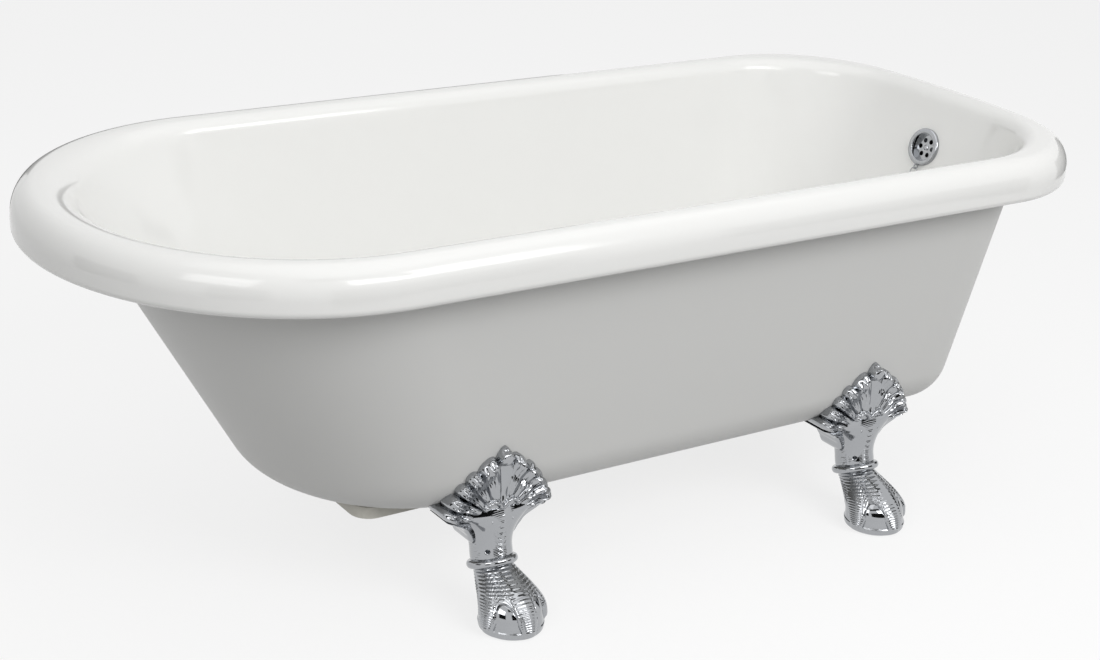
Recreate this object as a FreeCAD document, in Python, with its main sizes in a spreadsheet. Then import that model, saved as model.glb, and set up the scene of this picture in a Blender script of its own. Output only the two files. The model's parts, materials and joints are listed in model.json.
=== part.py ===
import FreeCAD, Part
import math
import os
import re
import Sketcher

# Freestanding roll-top bath on four claw-and-ball feet.
# Frame: +X towards the tap end, +Z up, origin on the floor under the middle of the rim.

SIZES = [
    # rim
    ("bathLength", 1700, "over the rolled rim"),
    ("bathWidth", 750, "over the rolled rim"),
    ("rimHeight", 610, "floor to the crest of the rim"),
    ("rimCorner", 231, "plan radius of the two tap-end corners"),
    ("tapBow", 1500, "plan radius of the slightly bowed tap end"),
    ("rollWidth", 33, "outer edge to crest"),
    ("rollDrop", 42, "crest down to the widest point"),
    ("rimFace", 67, "crest down to the bottom of the lip"),
    ("lipRound", 11, "radius under the lip"),
    ("lipReturn", 17, "how far the lip turns in underneath"),
    ("crestFlat", 2, "flat left on the crest"),
    # bowl
    ("shellWall", 6.5, "wall of bowl and rim"),
    ("bodyDepth", 455, "crest down to the underside of the base"),
    ("headInsetCrest", 65.9, "rim edge to bowl, head end, at crest level"),
    ("headInsetBase", 340, "the same at the base: the sloping back rest"),
    ("tapInsetCrest", 48.2, "rim edge to bowl, tap end, at crest level"),
    ("tapInsetBase", 179, "the same at the base"),
    ("sideInsetCrest", 50.9, "rim edge to bowl, long sides, at crest level"),
    ("sideInsetBase", 126.2, "the same at the base"),
    ("bowlCornerCrest", 227, "plan radius of the bowl corners at crest level"),
    ("bowlCornerBase", 91, "the same at the base"),
    ("baseRound", 78, "radius between walls and base"),
    # base board
    ("boardThick", 18, "reinforcing board under the base"),
    ("boardHalfWidth", 160, "half its width"),
    ("boardHeadInset", 420, "rim edge to board, head end"),
    ("boardTapInset", 345, "rim edge to board, tap end"),
    ("boardCorner", 30, "its corner radius"),
    # feet
    ("footHeadInset", 589, "rim edge to the head-end feet"),
    ("footTapInset", 406, "rim edge to the tap-end feet"),
    ("collarInset", 122, "rim edge to the collar's centre, across"),
    ("collarHeight", 79, "floor to the collar's centre"),
    ("collarRadius", 38, "outside radius of the collar ring"),
    ("collarThick", 12, "thickness of the collar ring"),
    ("legLean", 22, "lean of ankle and collar in degrees"),
    ("ankleRadius", 29, "ankle under the collar"),
    ("neckRadius", 31.5, "neck over the collar"),
    ("ballOut", 57, "collar centre out to the ball's centre"),
    ("pawRadius", 49, "half the width of the paw"),
    ("pawHeight", 64, "floor to the top of the paw"),
    ("toeWidth", 22, "width of a toe"),
    ("toeThick", 9, "how far a toe stands off the ball"),
    ("wingHalfSpan", 91, "half the span of the palmette"),
    ("wingHeight", 170, "floor to the wing tips"),
    ("tipHeight", 268, "floor to the tip of the top leaf"),
    ("leafWidth", 25, "width of the top leaf"),
    ("leafProud", 12, "top leaf in front of the bath's wall"),
    ("castWall", 6, "wall of the casting, open at its back"),
    ("tonguePast", 22, "fixing tongue, past the bolts"),
    ("tongueHalfWidth", 30, "half its width"),
    ("tongueThick", 14, "its thickness"),
    ("footGap", 0.2, "foot to bath wall"),
    # fasteners of the feet
    ("boltRadius", 4, "shank"),
    ("boltHeadFlats", 6.5, "head, centre to flat"),
    ("boltHeadHigh", 5.3, "head height"),
    ("boltGrip", 12, "shank above the tongue"),
    ("boltHalfPitch", 17, "half the distance between the two bolts of a foot"),
    ("boltOut", 125, "centre plane to the bolts"),
    ("boltHoleGap", 0.5, "radial clearance in the tongue"),
    ("threadGap", 0.05, "radial clearance of a modelled thread"),
    ("socketRoom", 1, "depth of a bolt hole past the bolt"),
    # waste
    ("wasteInset", 290, "rim edge to the waste's centre, tap end"),
    ("wasteHole", 26, "radius of the hole in the base"),
    ("tailRadius", 23.9, "inch and a half pipe thread over its crests"),
    ("tailBore", 20, "bore of the tail"),
    ("tailLength", 84, "under the flange"),
    ("threadFree", 20, "free thread at its end, for the trap"),
    ("relief", 1, "groove over the free thread, width and depth"),
    ("flangeRadius", 36, "waste flange"),
    ("flangeHigh", 3, "waste flange height"),
    ("seatRadius", 22.4, "plug seat at its mouth"),
    ("seatDepth", 12, "depth of the tapered seat"),
    ("gridBar", 3.2, "bars across the bore"),
    ("slotWidth", 9, "overflow slots in the tail"),
    ("wasteSealThick", 1.8, "seal under the flange"),
    ("lowerSealThick", 3, "seals above and below the banjo"),
    ("banjoRadius", 34, "outside of the banjo ring"),
    ("banjoHigh", 30, "height of the banjo ring"),
    ("banjoGroove", 30.5, "radius of its inner channel"),
    ("banjoLip", 5, "height of its upper and lower lips"),
    ("banjoGap", 0.3, "lips to tail"),
    ("backnutFlats", 31, "centre to flat"),
    ("backnutHigh", 10, "backnut height"),
    # overflow
    ("overflowDrop", 96, "crest down to the overflow's centre"),
    ("overflowHole", 26, "radius of the hole in the wall"),
    ("roseRadius", 33, "outside of the overflow rose"),
    ("roseHigh", 6, "how far it stands off the wall"),
    ("roseMouth", 25, "radius of its open mouth"),
    ("cupRadius", 24.5, "outside of the cup in the hole"),
    ("cupDepth", 7, "depth of the cup behind the wall face"),
    ("gridThick", 1.8, "perforated floor of the cup"),
    ("gridHole", 4.2, "radius of the six holes"),
    ("gridPitch", 13.5, "radius of the circle they lie on"),
    ("screwRadius", 3, "overflow screw shank"),
    ("screwHead", 5, "overflow screw head radius"),
    ("chamberRadius", 31, "overflow chamber behind the wall"),
    ("chamberDeep", 24, "its depth"),
    ("chamberWall", 2.5, "its wall"),
    ("overflowSealThick", 2, "seal between wall and chamber"),
    ("eyePlate", 2, "thickness of the chain eyes"),
    ("eyeRadius", 5, "outside radius of the chain eyes"),
    ("eyeHole", 3, "radius of their holes"),
    ("eyeRest", 0.4, "left between a ring's corner and the hole it hangs in"),
    # overflow pipe
    ("pipeRadius", 11, "22 mm pipe"),
    ("pipeWall", 1, "its wall"),
    ("pipeBend", 45, "radius of its bend"),
    ("spigotRadius", 14.5, "spigots of chamber and banjo"),
    ("spigotLength", 16, "straight part of a spigot"),
    ("nutFlats", 17.5, "compression nuts, centre to flat"),
    ("nutLength", 18, "compression nuts"),
    ("pipeGap", 0.3, "pipe to nut and spigot"),
    # plug and chain
    ("plugGap", 0.3, "plug to seat while it rests in the model"),
    ("plugDeep", 10, "rubber below the flange face"),
    ("plugLip", 24.5, "radius of the rubber lip"),
    ("plugLipThick", 2, "its thickness"),
    ("capRadius", 21, "metal cap on the plug"),
    ("capThick", 2, "its thickness"),
    ("ringRadius", 8, "split ring at the overflow, outside"),
    ("ringWire", 1.6, "its thickness"),
    ("plugRing", 6, "ring at the plug, outside"),
    ("linkLength", 14, "chain link over all"),
    ("linkWidth", 8, "chain link over all"),
    ("linkWire", 1.6, "chain wire"),
    ("linkPlay", 0.9, "play between two links"),
    ("chainSlack", 10, "least spare length of the chain"),
    ("upperShare", 0.77, "share of its links above the slack's lowest point"),
]

doc = FreeCAD.newDocument("clawfootBath")
sheet = doc.addObject("Spreadsheet::Sheet", "sizes")
for row, (alias, number, note) in enumerate(SIZES, 1):
    sheet.set("A%d" % row, alias)
    sheet.set("B%d" % row, str(number))
    sheet.set("C%d" % row, note)
    sheet.setAlias("B%d" % row, alias)
doc.recompute()

NAMES = {alias for alias, number, note in SIZES}
V = FreeCAD.Vector
UP = V(0, 0, 1)
# places worked out from the sizes
DERIVED = {
    "footHeadX": "(footHeadInset - bathLength / 2)",
    "footTapX": "(bathLength / 2 - footTapInset)",
    "collarOut": "(bathWidth / 2 - collarInset)",
    "tongueLength": "(bathWidth / 2 - collarInset - boltOut + tonguePast)",
    "boardHeadEnd": "(boardHeadInset - bathLength / 2)",
    "boardTapEnd": "(bathLength / 2 - boardTapInset)",
    "wasteX": "(bathLength / 2 - wasteInset)",
}


def bound(text):
    """An expression over the sheet: every size name gets the sheet's prefix."""
    text = re.sub(r"[A-Za-z]\w*", lambda m: DERIVED.get(m.group(), m.group()), text)
    return re.sub(r"[A-Za-z]\w*", lambda m: "sizes." + m.group() if m.group() in NAMES else m.group(), text)


def val(text):
    """The present number of an expression over the sheet."""
    got = sheet.evalExpression(bound(text))
    return float(getattr(got, "Value", got))


def tie(thing, **rules):
    """Binds properties of an object to expressions; x, y, z are its place."""
    for key, text in rules.items():
        path = ".Placement.Base." + key if key in ("x", "y", "z") else key
        thing.setExpression(path, bound(str(text)))
    return thing


def prim(kind, name, **rules):
    return tie(doc.addObject("Part::" + kind, name), **rules)


def rod(name, sides, **rules):
    """A bar with flats."""
    made = prim("Prism", name, **rules)
    made.Polygon = sides
    return made


def fuse(name, *things):
    made = doc.addObject("Part::MultiFuse", name)
    made.Shapes = list(things)
    return made


def cut(name, base, tool):
    made = doc.addObject("Part::Cut", name)
    made.Base = base
    made.Tool = tool
    return made


def group(name, things):
    made = doc.addObject("Part::Compound", name)
    made.Links = list(things)
    return made


# ---------------------------------------------------------------- rings, stacks and turned pieces

def solidOf(rings):
    """A closed solid skinned over rings of points that all have the same count."""
    faces = [Part.Face(Part.makePolygon(ring + ring[:1])) for ring in (rings[0], rings[-1])]
    for low, high in zip(rings, rings[1:]):
        for n in range(len(low)):
            near, far = n - 1, n
            corners = [low[near], low[far], high[far], high[near]]
            if abs((corners[1] - corners[0]).cross(corners[3] - corners[0]).dot(corners[2] - corners[0])) < 1e-6:
                faces.append(Part.Face(Part.makePolygon(corners + corners[:1])))
            else:
                faces.append(Part.Face(Part.makePolygon([corners[0], corners[1], corners[2], corners[0]])))
                faces.append(Part.Face(Part.makePolygon([corners[0], corners[2], corners[3], corners[0]])))
    made = Part.Solid(Part.makeShell(faces))
    if made.Volume < 0:
        made.reverse()
    return made


def feature(name, shape):
    made = doc.addObject("Part::Feature", name)
    made.Shape = shape
    return made


def turned(label, profile):
    """A body of revolution about its own Z axis, from (radius, height) corners in the sheet's sizes."""
    body = doc.addObject("PartDesign::Body", label)
    sketch = body.newObject("Sketcher::SketchObject", label + "Profile")
    plane = [p for p in body.Origin.OriginFeatures if p.Role == "XZ_Plane"][0]
    sketch.AttachmentSupport = [(plane, "")]
    sketch.MapMode = "FlatFace"
    points = [V(val(r), val(z), 0) for r, z in profile]
    sketch.addGeometry([Part.LineSegment(a, b) for a, b in zip(points, points[1:] + points[:1])], False)
    rule = Sketcher.Constraint
    last = len(profile) - 1
    for n, (r, z) in enumerate(profile):
        sketch.addConstraint(rule("Coincident", n - 1 if n else last, 2, n, 1))
        if abs(val(r)) < 1e-9:
            sketch.addConstraint(rule("PointOnObject", n, 1, -2))
        else:
            place = sketch.addConstraint(rule("DistanceX", -1, 1, n, 1, val(r)))
            sketch.setExpression("Constraints[%d]" % place, bound(r))
        if abs(val(z)) < 1e-9:
            sketch.addConstraint(rule("PointOnObject", n, 1, -1))
        else:
            place = sketch.addConstraint(rule("DistanceY", -1, 1, n, 1, val(z)))
            sketch.setExpression("Constraints[%d]" % place, bound(z))
    spin = body.newObject("PartDesign::Revolution", label + "Turn")
    spin.Profile = sketch
    spin.ReferenceAxis = (sketch, ["V_Axis"])
    spin.Angle = 360
    body.Tip = spin
    doc.recompute()
    return body


ROUND_SIDES = 24
SMALL_SIDES = 10


def flatTurned(label, profile):
    """A round piece in flats about its own Z axis, from the same kind of corners as turned() takes."""
    corners = [(val(r), val(z)) for r, z in profile]
    turns = [2 * math.pi * n / ROUND_SIDES for n in range(ROUND_SIDES)]
    rings = [[V(r * math.cos(t), r * math.sin(t), z) for t in turns] for r, z in corners]
    faces = []
    for n in range(len(corners)):
        low, high = rings[n - 1], rings[n]
        inner, outer = sorted((corners[n - 1][0], corners[n][0]))
        if outer < 1e-9:
            continue
        if inner < 1e-9:
            ring = low if corners[n - 1][0] > corners[n][0] else high
            faces.append(Part.Face(Part.makePolygon(ring + ring[:1])))
            continue
        for m in range(ROUND_SIDES):
            quad = [low[m - 1], low[m], high[m], high[m - 1]]
            faces.append(Part.Face(Part.makePolygon(quad + quad[:1])))
    made = Part.Solid(Part.makeShell(faces))
    if made.Volume < 0:
        made.reverse()
    return feature(label, made)


# ---------------------------------------------------------------- bath shell

HEAD_STEPS = 20
CORNER_STEPS = 6
TAP_STEPS = 3


def planRing(head, tap, side, corner, bow, drop):
    """One closed plan curve of the bath: half round head, two corners and a bowed tap end."""
    half = val("bathWidth") / 2 - side
    headX = half + head - val("bathLength") / 2
    meet = math.asin((half - corner) / (bow - corner))
    bowX = val("bathLength") / 2 - tap - bow * math.cos(meet / TAP_STEPS)
    cornerX = bowX + (bow - corner) * math.cos(meet)
    z = val("rimHeight") - drop

    def arc(x, y, radius, first, last, steps):
        turns = [first + (last - first) * n / steps for n in range(steps + 1)]
        return [V(x + radius * math.cos(t), y + radius * math.sin(t), z) for t in turns]

    ring = arc(headX, 0, half, math.pi / 2, math.pi * 3 / 2, HEAD_STEPS)
    ring += arc(cornerX, corner - half, corner, -math.pi / 2, -meet, CORNER_STEPS)
    ring += arc(bowX, 0, bow, -meet, meet, TAP_STEPS)[1:-1]
    ring += arc(cornerX, half - corner, corner, meet, math.pi / 2, CORNER_STEPS)
    return ring


def rimRing(inset, drop):
    """The rim's plan curve moved in by inset."""
    return planRing(inset, inset, inset, val("rimCorner") - inset, val("tapBow") - inset, drop)


def bowlRing(drop, skin):
    """The bowl's plan curve at a drop: leaning walls, rolled mouth over them and round base under them."""
    start = val("rollWidth + crestFlat")
    depth = val("bodyDepth")
    base = depth - skin
    round_ = val("baseRound") - skin

    def inset(side):
        crest = val(side + "InsetCrest")
        lean = (val(side + "InsetBase") - crest) / depth
        slant = math.sqrt(1 + lean * lean)
        wall = crest + skin * slant
        rise = lean / slant
        roll = (wall - start) / math.tan((math.pi / 2 - math.atan(lean)) / 2)
        if skin and drop < roll * (1 - rise):
            return start + math.sqrt(max(0, 2 * roll * drop - drop * drop))
        if drop > base - round_ * (1 - rise):
            middle = wall + lean * (base - round_) + round_ * slant
            return middle - math.sqrt(max(0, round_ ** 2 - (drop - base + round_) ** 2))
        return wall + lean * drop

    def straight(side):
        lean = (val(side + "InsetBase") - val(side + "InsetCrest")) / depth
        return val(side + "InsetCrest") + skin * math.sqrt(1 + lean * lean) + lean * drop

    corner = val("bowlCornerCrest") + val("bowlCornerBase - bowlCornerCrest") * drop / depth - skin
    corner -= inset("side") - straight("side")
    return planRing(inset("head"), inset("tap"), inset("side"), corner, val("tapBow"), drop)


def rimCurve(skin, steps):
    """Corners of the rim's section from its crest over the nose to under the lip, moved in by skin."""
    wide, drop = val("rollWidth"), val("rollDrop")
    lip, face = val("lipRound"), val("rimFace")
    curve = []
    for n in range(steps + 1):
        turn = math.pi / 2 * n / steps
        curve.append((wide - (wide - skin) * math.sin(turn), drop - (drop - skin) * math.cos(turn)))
    for n in range(LIP_STEPS + 1):
        turn = math.pi / 2 * n / LIP_STEPS
        curve.append((lip - (lip - skin) * math.cos(turn), face - lip + (lip - skin) * math.sin(turn)))
    curve.append((val("lipReturn"), face - skin))
    return curve


LIP_STEPS = 2
NOSE_STEPS = 5
MOUTH_STEPS = (0, 0.04, 0.16, 0.35, 0.64, 1)
BASE_STEPS = (1, 0.74, 0.5, 0.3, 0.13, 0.03, 0)

wall = val("shellWall")
depth = val("bodyDepth")
mouthDrop = val("rollWidth")
rings = [bowlRing(depth - val("baseRound") * share, 0) for share in reversed(BASE_STEPS)]
rings.append(bowlRing(wall, 0))
rings += [rimRing(inset, drop) for inset, drop in rimCurve(wall, NOSE_STEPS)]
rings += [rimRing(inset, drop) for inset, drop in reversed(rimCurve(0, NOSE_STEPS))]
rings += [bowlRing(mouthDrop * share, wall) for share in MOUTH_STEPS]
rings += [bowlRing(depth - wall - (val("baseRound") - wall) * share, wall) for share in BASE_STEPS]
wholeShell = feature("wholeShell", solidOf(rings))
baseLevel = "(rimHeight - bodyDepth)"
floorLevel = "(rimHeight - bodyDepth + shellWall)"


def tapFace(drop):
    """A point of the wall's inside on the centre plane, on the flat middle of the tap end."""
    ring = bowlRing(drop, wall)
    return V(max(p.x for p in ring), 0, ring[0].z)


faceLow = tapFace(depth - val("baseRound"))
faceHigh = tapFace(mouthDrop)
slope = (faceHigh - faceLow).normalize()
intoBath = V(-slope.z, 0, slope.x)
roseCentre = faceLow + slope * ((val("rimHeight - overflowDrop") - faceLow.z) / slope.z)


def inWall(thing, out="0"):
    """Stands a piece that was made along Z on the overflow's axis, Z pointing into the bath."""
    thing.Placement = FreeCAD.Placement(roseCentre - intoBath * val(out), FreeCAD.Rotation(UP, intoBath))
    return thing


wasteBore = prim("Cylinder", "wasteBore", Radius="wasteHole", Height="3 * shellWall", x="wasteX",
                 z=floorLevel + " - 2 * shellWall")
overflowBore = inWall(prim("Cylinder", "overflowBore", Radius="overflowHole", Height="3 * shellWall"), "2 * shellWall")
shell = cut("bath_shell", wholeShell, fuse("shellHoles", wasteBore, overflowBore))
NODES = [shell]


def keep(thing, label):
    thing.Label = label
    NODES.append(thing)
    return thing


# ---------------------------------------------------------------- base board

plank = prim("Box", "plank", Length="boardTapEnd - boardHeadEnd", Width="2 * boardHalfWidth", Height="boardThick",
             x="boardHeadEnd", y="-boardHalfWidth", z=baseLevel + " - boardThick")
doc.recompute()
rounded = doc.addObject("Part::Fillet", "roundedPlank")
rounded.Base = plank
rounded.Edges = [(n, val("boardCorner"), val("boardCorner")) for n, edge in enumerate(plank.Shape.Edges, 1)
                 if edge.BoundBox.ZLength > val("boardThick") / 2]
FEET = [("head_near", "footHeadX", -1), ("tap_near", "footTapX", -1),
        ("head_far", "footHeadX", 1), ("tap_far", "footTapX", 1)]
BOLTS = [("%s %s boltHalfPitch" % (x, sign), "%d * boltOut" % side) for name, x, side in FEET for sign in "-+"]
boardBase = baseLevel + " - boardThick"
sockets = [rod("socket%d" % n, SMALL_SIDES, Circumradius="boltRadius + threadGap", Height="boltGrip + socketRoom",
               x=x, y=y, z=boardBase) for n, (x, y) in enumerate(BOLTS)]
keep(cut("boardCut", rounded, fuse("sockets", *sockets)), "base_board")


# ---------------------------------------------------------------- fasteners of the feet

def boltPiece(n, x, y):
    low = boardBase + " - tongueThick"
    head = rod("boltHead%d" % n, 6, Circumradius="boltHeadFlats / cos(30 deg)", Height="boltHeadHigh",
               x=x, y=y, z=low + " - boltHeadHigh")
    shank = rod("boltShank%d" % n, SMALL_SIDES, Circumradius="boltRadius", Height="tongueThick + boltGrip",
                x=x, y=y, z=low)
    return fuse("bolt%d" % n, head, shank)


keep(group("boltGroup", [boltPiece(n, x, y) for n, (x, y) in enumerate(BOLTS)]), "foot_bolts")

# ---------------------------------------------------------------- claw-and-ball feet

RING_SIDES = 12
TOE_TURNS = (0, -78, 78)
LEAVES = ((0, 1.0), (17, 0.86), (-17, 0.86), (33, 0.78), (-33, 0.78), (49, 0.72), (-49, 0.72), (65, 0.66), (-65, 0.66))


def ovalRing(out, high, deep, wide, lean):
    """An oval square to the leaning leg: out from the collar's centre, high over the floor, its front higher."""
    ring = []
    for n in range(RING_SIDES):
        turn = 2 * math.pi * (n + 0.5) / RING_SIDES
        reach = deep * math.cos(turn)
        ring.append(V(wide * math.sin(turn), -out - reach * math.cos(math.radians(lean)),
                      high + reach * math.sin(math.radians(lean))))
    return ring


def toeShape(turn):
    """One toe: from the ankle over the ball and down to its claw, as wide as the sheet says."""
    ball = val("ballOut")
    radius = val("pawRadius")
    half = val("toeWidth") / 2
    thick = val("toeThick")
    top = val("pawHeight")
    # share of the paw's height, share of its radius, width factor
    stations = ((1.06, 0.46, 0.75), (0.86, 0.75, 0.95), (0.6, 0.96, 1.02), (0.3, 1.0, 0.88), (0.10, 0.93, 0.5))
    rings = []
    for high, reach, width in stations:
        core = reach * radius
        w = half * width
        section = [(-w, -0.35), (-0.72 * w, 0.62), (0, 0.95), (0.72 * w, 0.62), (w, -0.35), (0, -1.4)]
        ring = []
        for across, rise in section:
            along = core + rise * thick * 0.55
            angle = math.radians(turn)
            x = across * math.cos(angle) + along * math.sin(angle)
            y = -across * math.sin(angle) + along * math.cos(angle)
            pull = 1 - max(0.0, (high - 0.7) / 0.36)
            ring.append(V(x, -(y + ball * (0.25 + 0.75 * min(1, pull + 0.2))), high * top + rise * thick * 0.45))
        rings.append(ring)
    return solidOf(rings)


def leafShape(turn, size):
    """One leaf of the palmette: a ridge that widens towards its rounded tip, lying on the bath's wall."""
    heart = val("wingHeight") - 6
    full = (val("tipHeight") - heart) * size
    half = val("leafWidth") / 2 * (0.55 + 0.45 * size)
    wallOut = val("bathWidth / 2 - sideInsetBase")
    lean = val("(sideInsetBase - sideInsetCrest) / bodyDepth")
    proud = val("leafProud")
    angle = math.radians(turn * val("wingHalfSpan") / 91)
    # share of the length, share of the half width, height over the wall
    stations = ((0.0, 0.45, 2.2), (0.6, 0.88, 1.65), (0.88, 0.95, 1.2), (1.0, 0.35, 0.6))
    rings = []
    for share, width, rise in stations:
        ring = []
        for across, up in ((-1.0, -3.0), (-0.8, 0.55), (0, 1.0), (0.8, 0.55), (1.0, -3.0)):
            along = share * full
            side = across * width * half
            x = along * math.sin(angle) + side * math.cos(angle)
            z = heart + along * math.cos(angle) - side * math.sin(angle)
            wall = wallOut + lean * (z - val("rimHeight - bodyDepth"))
            ring.append(V(x, -(wall + proud * rise * up) + val("collarOut"), z))
        rings.append(ring)
    return solidOf(rings)


def footShape():
    """The whole casting of a near-side foot at X 0: paw, toes, collar, neck, palmette and fixing tongue."""
    ball, paw, top = val("ballOut"), val("pawRadius"), val("pawHeight")
    ankle, neck, lean = val("ankleRadius"), val("neckRadius"), val("legLean")
    high, ring, thick = val("collarHeight"), val("collarRadius"), val("collarThick")
    wing, span = val("wingHeight"), val("wingHalfSpan")
    tilt = math.tan(math.radians(lean))
    cast = val("castWall")
    # out from the collar's centre, height, half depth, half width, lean
    leg = [
        (ball, 0, paw * 0.86, paw * 0.86, 0),
        (ball, top * 0.10, paw * 0.95, paw * 0.96, 0),
        (ball * 0.95, top * 0.36, paw * 0.93, paw * 0.96, 3),
        (ball * 0.84, top * 0.56, paw * 0.85, paw * 0.88, 7),
        (ball * 0.58, top * 0.77, paw * 0.72, paw * 0.75, 13),
        (ball * 0.32, top * 0.93, ankle * 1.06, ankle * 1.08, 18),
        (thick / 2 * tilt, high - thick / 2, ankle, ankle, lean),
        (-thick / 2 * tilt, high + thick / 2, neck, neck, lean),
        (-8, high + 30, neck * 0.98, neck * 1.03, lean * 0.5),
        (-9.5, high + 54, neck * 1.04, neck * 1.36, 0),
        (-12, wing - 18, neck * 1.15, span * 0.68, 0),
        (-16, wing - 4, neck * 1.2, span * 0.98, 0),
        (-19, wing + 7, neck * 1.2, span * 0.94, 0),
        (-20, wing + 22, neck * 1.1, span * 0.72, 0),
    ]
    collar = [
        ovalRing(thick * 0.5 * tilt, high - thick * 0.5, ankle, ankle, lean),
        ovalRing(thick * 0.3 * tilt, high - thick * 0.3, ring, ring, lean),
        ovalRing(-thick * 0.3 * tilt, high + thick * 0.3, ring, ring, lean),
        ovalRing(-thick * 0.5 * tilt, high + thick * 0.5, neck, neck, lean),
    ]
    # the casting is open at its back: the leg's own form, narrower and moved back
    hollow = [ovalRing(out - 2 * cast, max(level, 1.5 * cast), deep + cast, wide - cast, turn)
              for out, level, deep, wide, turn in [leg[n] for n in (1, 3, 5, 7, 9, 10, 11)]]
    pieces = [solidOf(collar)]
    pieces += [toeShape(turn) for turn in TOE_TURNS]
    pieces += [leafShape(turn, size) for turn, size in LEAVES]
    casting = solidOf([ovalRing(*station) for station in leg]).multiFuse(pieces).cut(solidOf(hollow))
    tongue = Part.makeBox(2 * val("tongueHalfWidth"), val("tongueLength") + neck / 2, val("tongueThick"),
                          V(-val("tongueHalfWidth"), -neck / 2, val(boardBase) - val("tongueThick")))
    whole = casting.fuse(tongue)
    whole.translate(V(0, -val("collarOut"), 0))
    return whole


footBlank = feature("footBlank", footShape())


def footNode(name, x, side):
    """A foot cut back to the bath's wall, the base board and the bolts; the far side is mirrored."""
    blank = feature("footBlank_" + name, footBlank.Shape.copy())
    middle = val(x)
    placed = footBlank.Shape.copy()
    placed.translate(V(middle, 0, 0))
    bath = solidOf([bowlRing(val("bodyDepth") - val("baseRound") * share, 0) for share in reversed(BASE_STEPS)]
                   + [bowlRing(wall, 0)])
    bath.translate(V(0, -val("footGap"), 0))
    placed = placed.cut(bath)
    board = Part.makeBox(400, 400, 60, V(middle - 200, -400, val(boardBase)))
    inner = Part.makeBox(400, val("boardHalfWidth") + 400, 60, V(middle - 200, -val("boardHalfWidth"), val(boardBase)))
    placed = placed.cut(inner)
    for sign in (-1, 1):
        hole = Part.makeCylinder(val("boltRadius + boltHoleGap"), 3 * val("tongueThick"),
                                 V(middle + sign * val("boltHalfPitch"), -val("boltOut"),
                                   val(boardBase) - 2 * val("tongueThick")))
        placed = placed.cut(hole)
    if side > 0:
        placed = placed.mirror(V(0, 0, 0), V(0, 1, 0))
    blank.Shape = placed
    return keep(blank, "foot_" + name)


for footName, footX, footSide in FEET:
    footNode(footName, footX, footSide)

# ---------------------------------------------------------------- waste

sealTop = floorLevel + " + wasteSealThick"


def onWaste(thing, z):
    return tie(thing, x="wasteX", z=z)


# the free thread is a true cylinder, the rest of the tail has flats
thread = onWaste(turned("threadTurned", [
    ("tailRadius - 2 * relief", "-tailLength"), ("tailRadius", "-tailLength"),
    ("tailRadius", "threadFree - tailLength"), ("tailRadius - 2 * relief", "threadFree - tailLength"),
]), sealTop)
flange = onWaste(flatTurned("flangeTurned", [
    ("tailBore", "-tailLength"), ("tailRadius - relief", "-tailLength"),
    ("tailRadius - relief", "threadFree - tailLength + relief"),
    ("tailRadius", "threadFree - tailLength + relief"), ("tailRadius", "0"), ("flangeRadius", "0"),
    ("flangeRadius - flangeHigh", "flangeHigh"), ("seatRadius", "flangeHigh / 3"), ("tailBore", "-seatDepth"),
]), sealTop)
bars = [prim("Box", "gridBar%d" % n, Length="2 * tailBore + 1", Width="gridBar", Height="2 * gridBar",
             x="wasteX - tailBore - 0.5", y="-gridBar / 2", z=sealTop + " - seatDepth - 4 * gridBar") for n in (0, 1)]
bars[1].Placement.Rotation = FreeCAD.Rotation(UP, 90)
tie(bars[1], x="wasteX + gridBar / 2", y="-tailBore - 0.5")
banjoTop = baseLevel + " - lowerSealThick"
slots = [prim("Box", "tailSlot%d" % n, Length="2 * tailRadius + 2", Width="slotWidth", Height="banjoHigh - 3 * banjoLip",
              x="wasteX - tailRadius - 1", y="-slotWidth / 2", z=banjoTop + " - banjoHigh + 1.5 * banjoLip")
         for n in (0, 1)]
slots[1].Placement.Rotation = FreeCAD.Rotation(UP, 90)
tie(slots[1], x="wasteX + slotWidth / 2", y="-tailRadius - 1")
keep(cut("slottedFlange", fuse("griddedFlange", flange, thread, *bars), fuse("tailSlots", *slots)), "waste_flange")


def sealRing(label, inner, outer, thick, z):
    return keep(onWaste(flatTurned(label + "Ring", [(inner, "0"), (outer, "0"), (outer, thick), (inner, thick)]), z), label)


sealRing("waste_seal_top", "tailRadius + banjoGap", "flangeRadius - 1", "wasteSealThick", floorLevel)
sealRing("waste_seal_middle", "tailRadius + banjoGap", "banjoRadius", "lowerSealThick", banjoTop)
sealRing("waste_seal_bottom", "tailRadius + banjoGap", "banjoRadius", "lowerSealThick",
         banjoTop + " - banjoHigh - lowerSealThick")
banjoRing = onWaste(flatTurned("banjoRing", [
    ("tailRadius + banjoGap", "0"), ("banjoRadius", "0"), ("banjoRadius", "banjoHigh"),
    ("tailRadius + banjoGap", "banjoHigh"), ("tailRadius + banjoGap", "banjoHigh - banjoLip"),
    ("banjoGroove", "banjoHigh - banjoLip"), ("banjoGroove", "banjoLip"), ("tailRadius + banjoGap", "banjoLip"),
]), banjoTop + " - banjoHigh")
pipeLevel = banjoTop + " - banjoHigh / 2"
banjoMouth = "wasteX + banjoRadius + spigotLength"


def alongX(thing):
    thing.Placement.Rotation = FreeCAD.Rotation(V(0, 1, 0), 90)
    return thing


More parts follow.
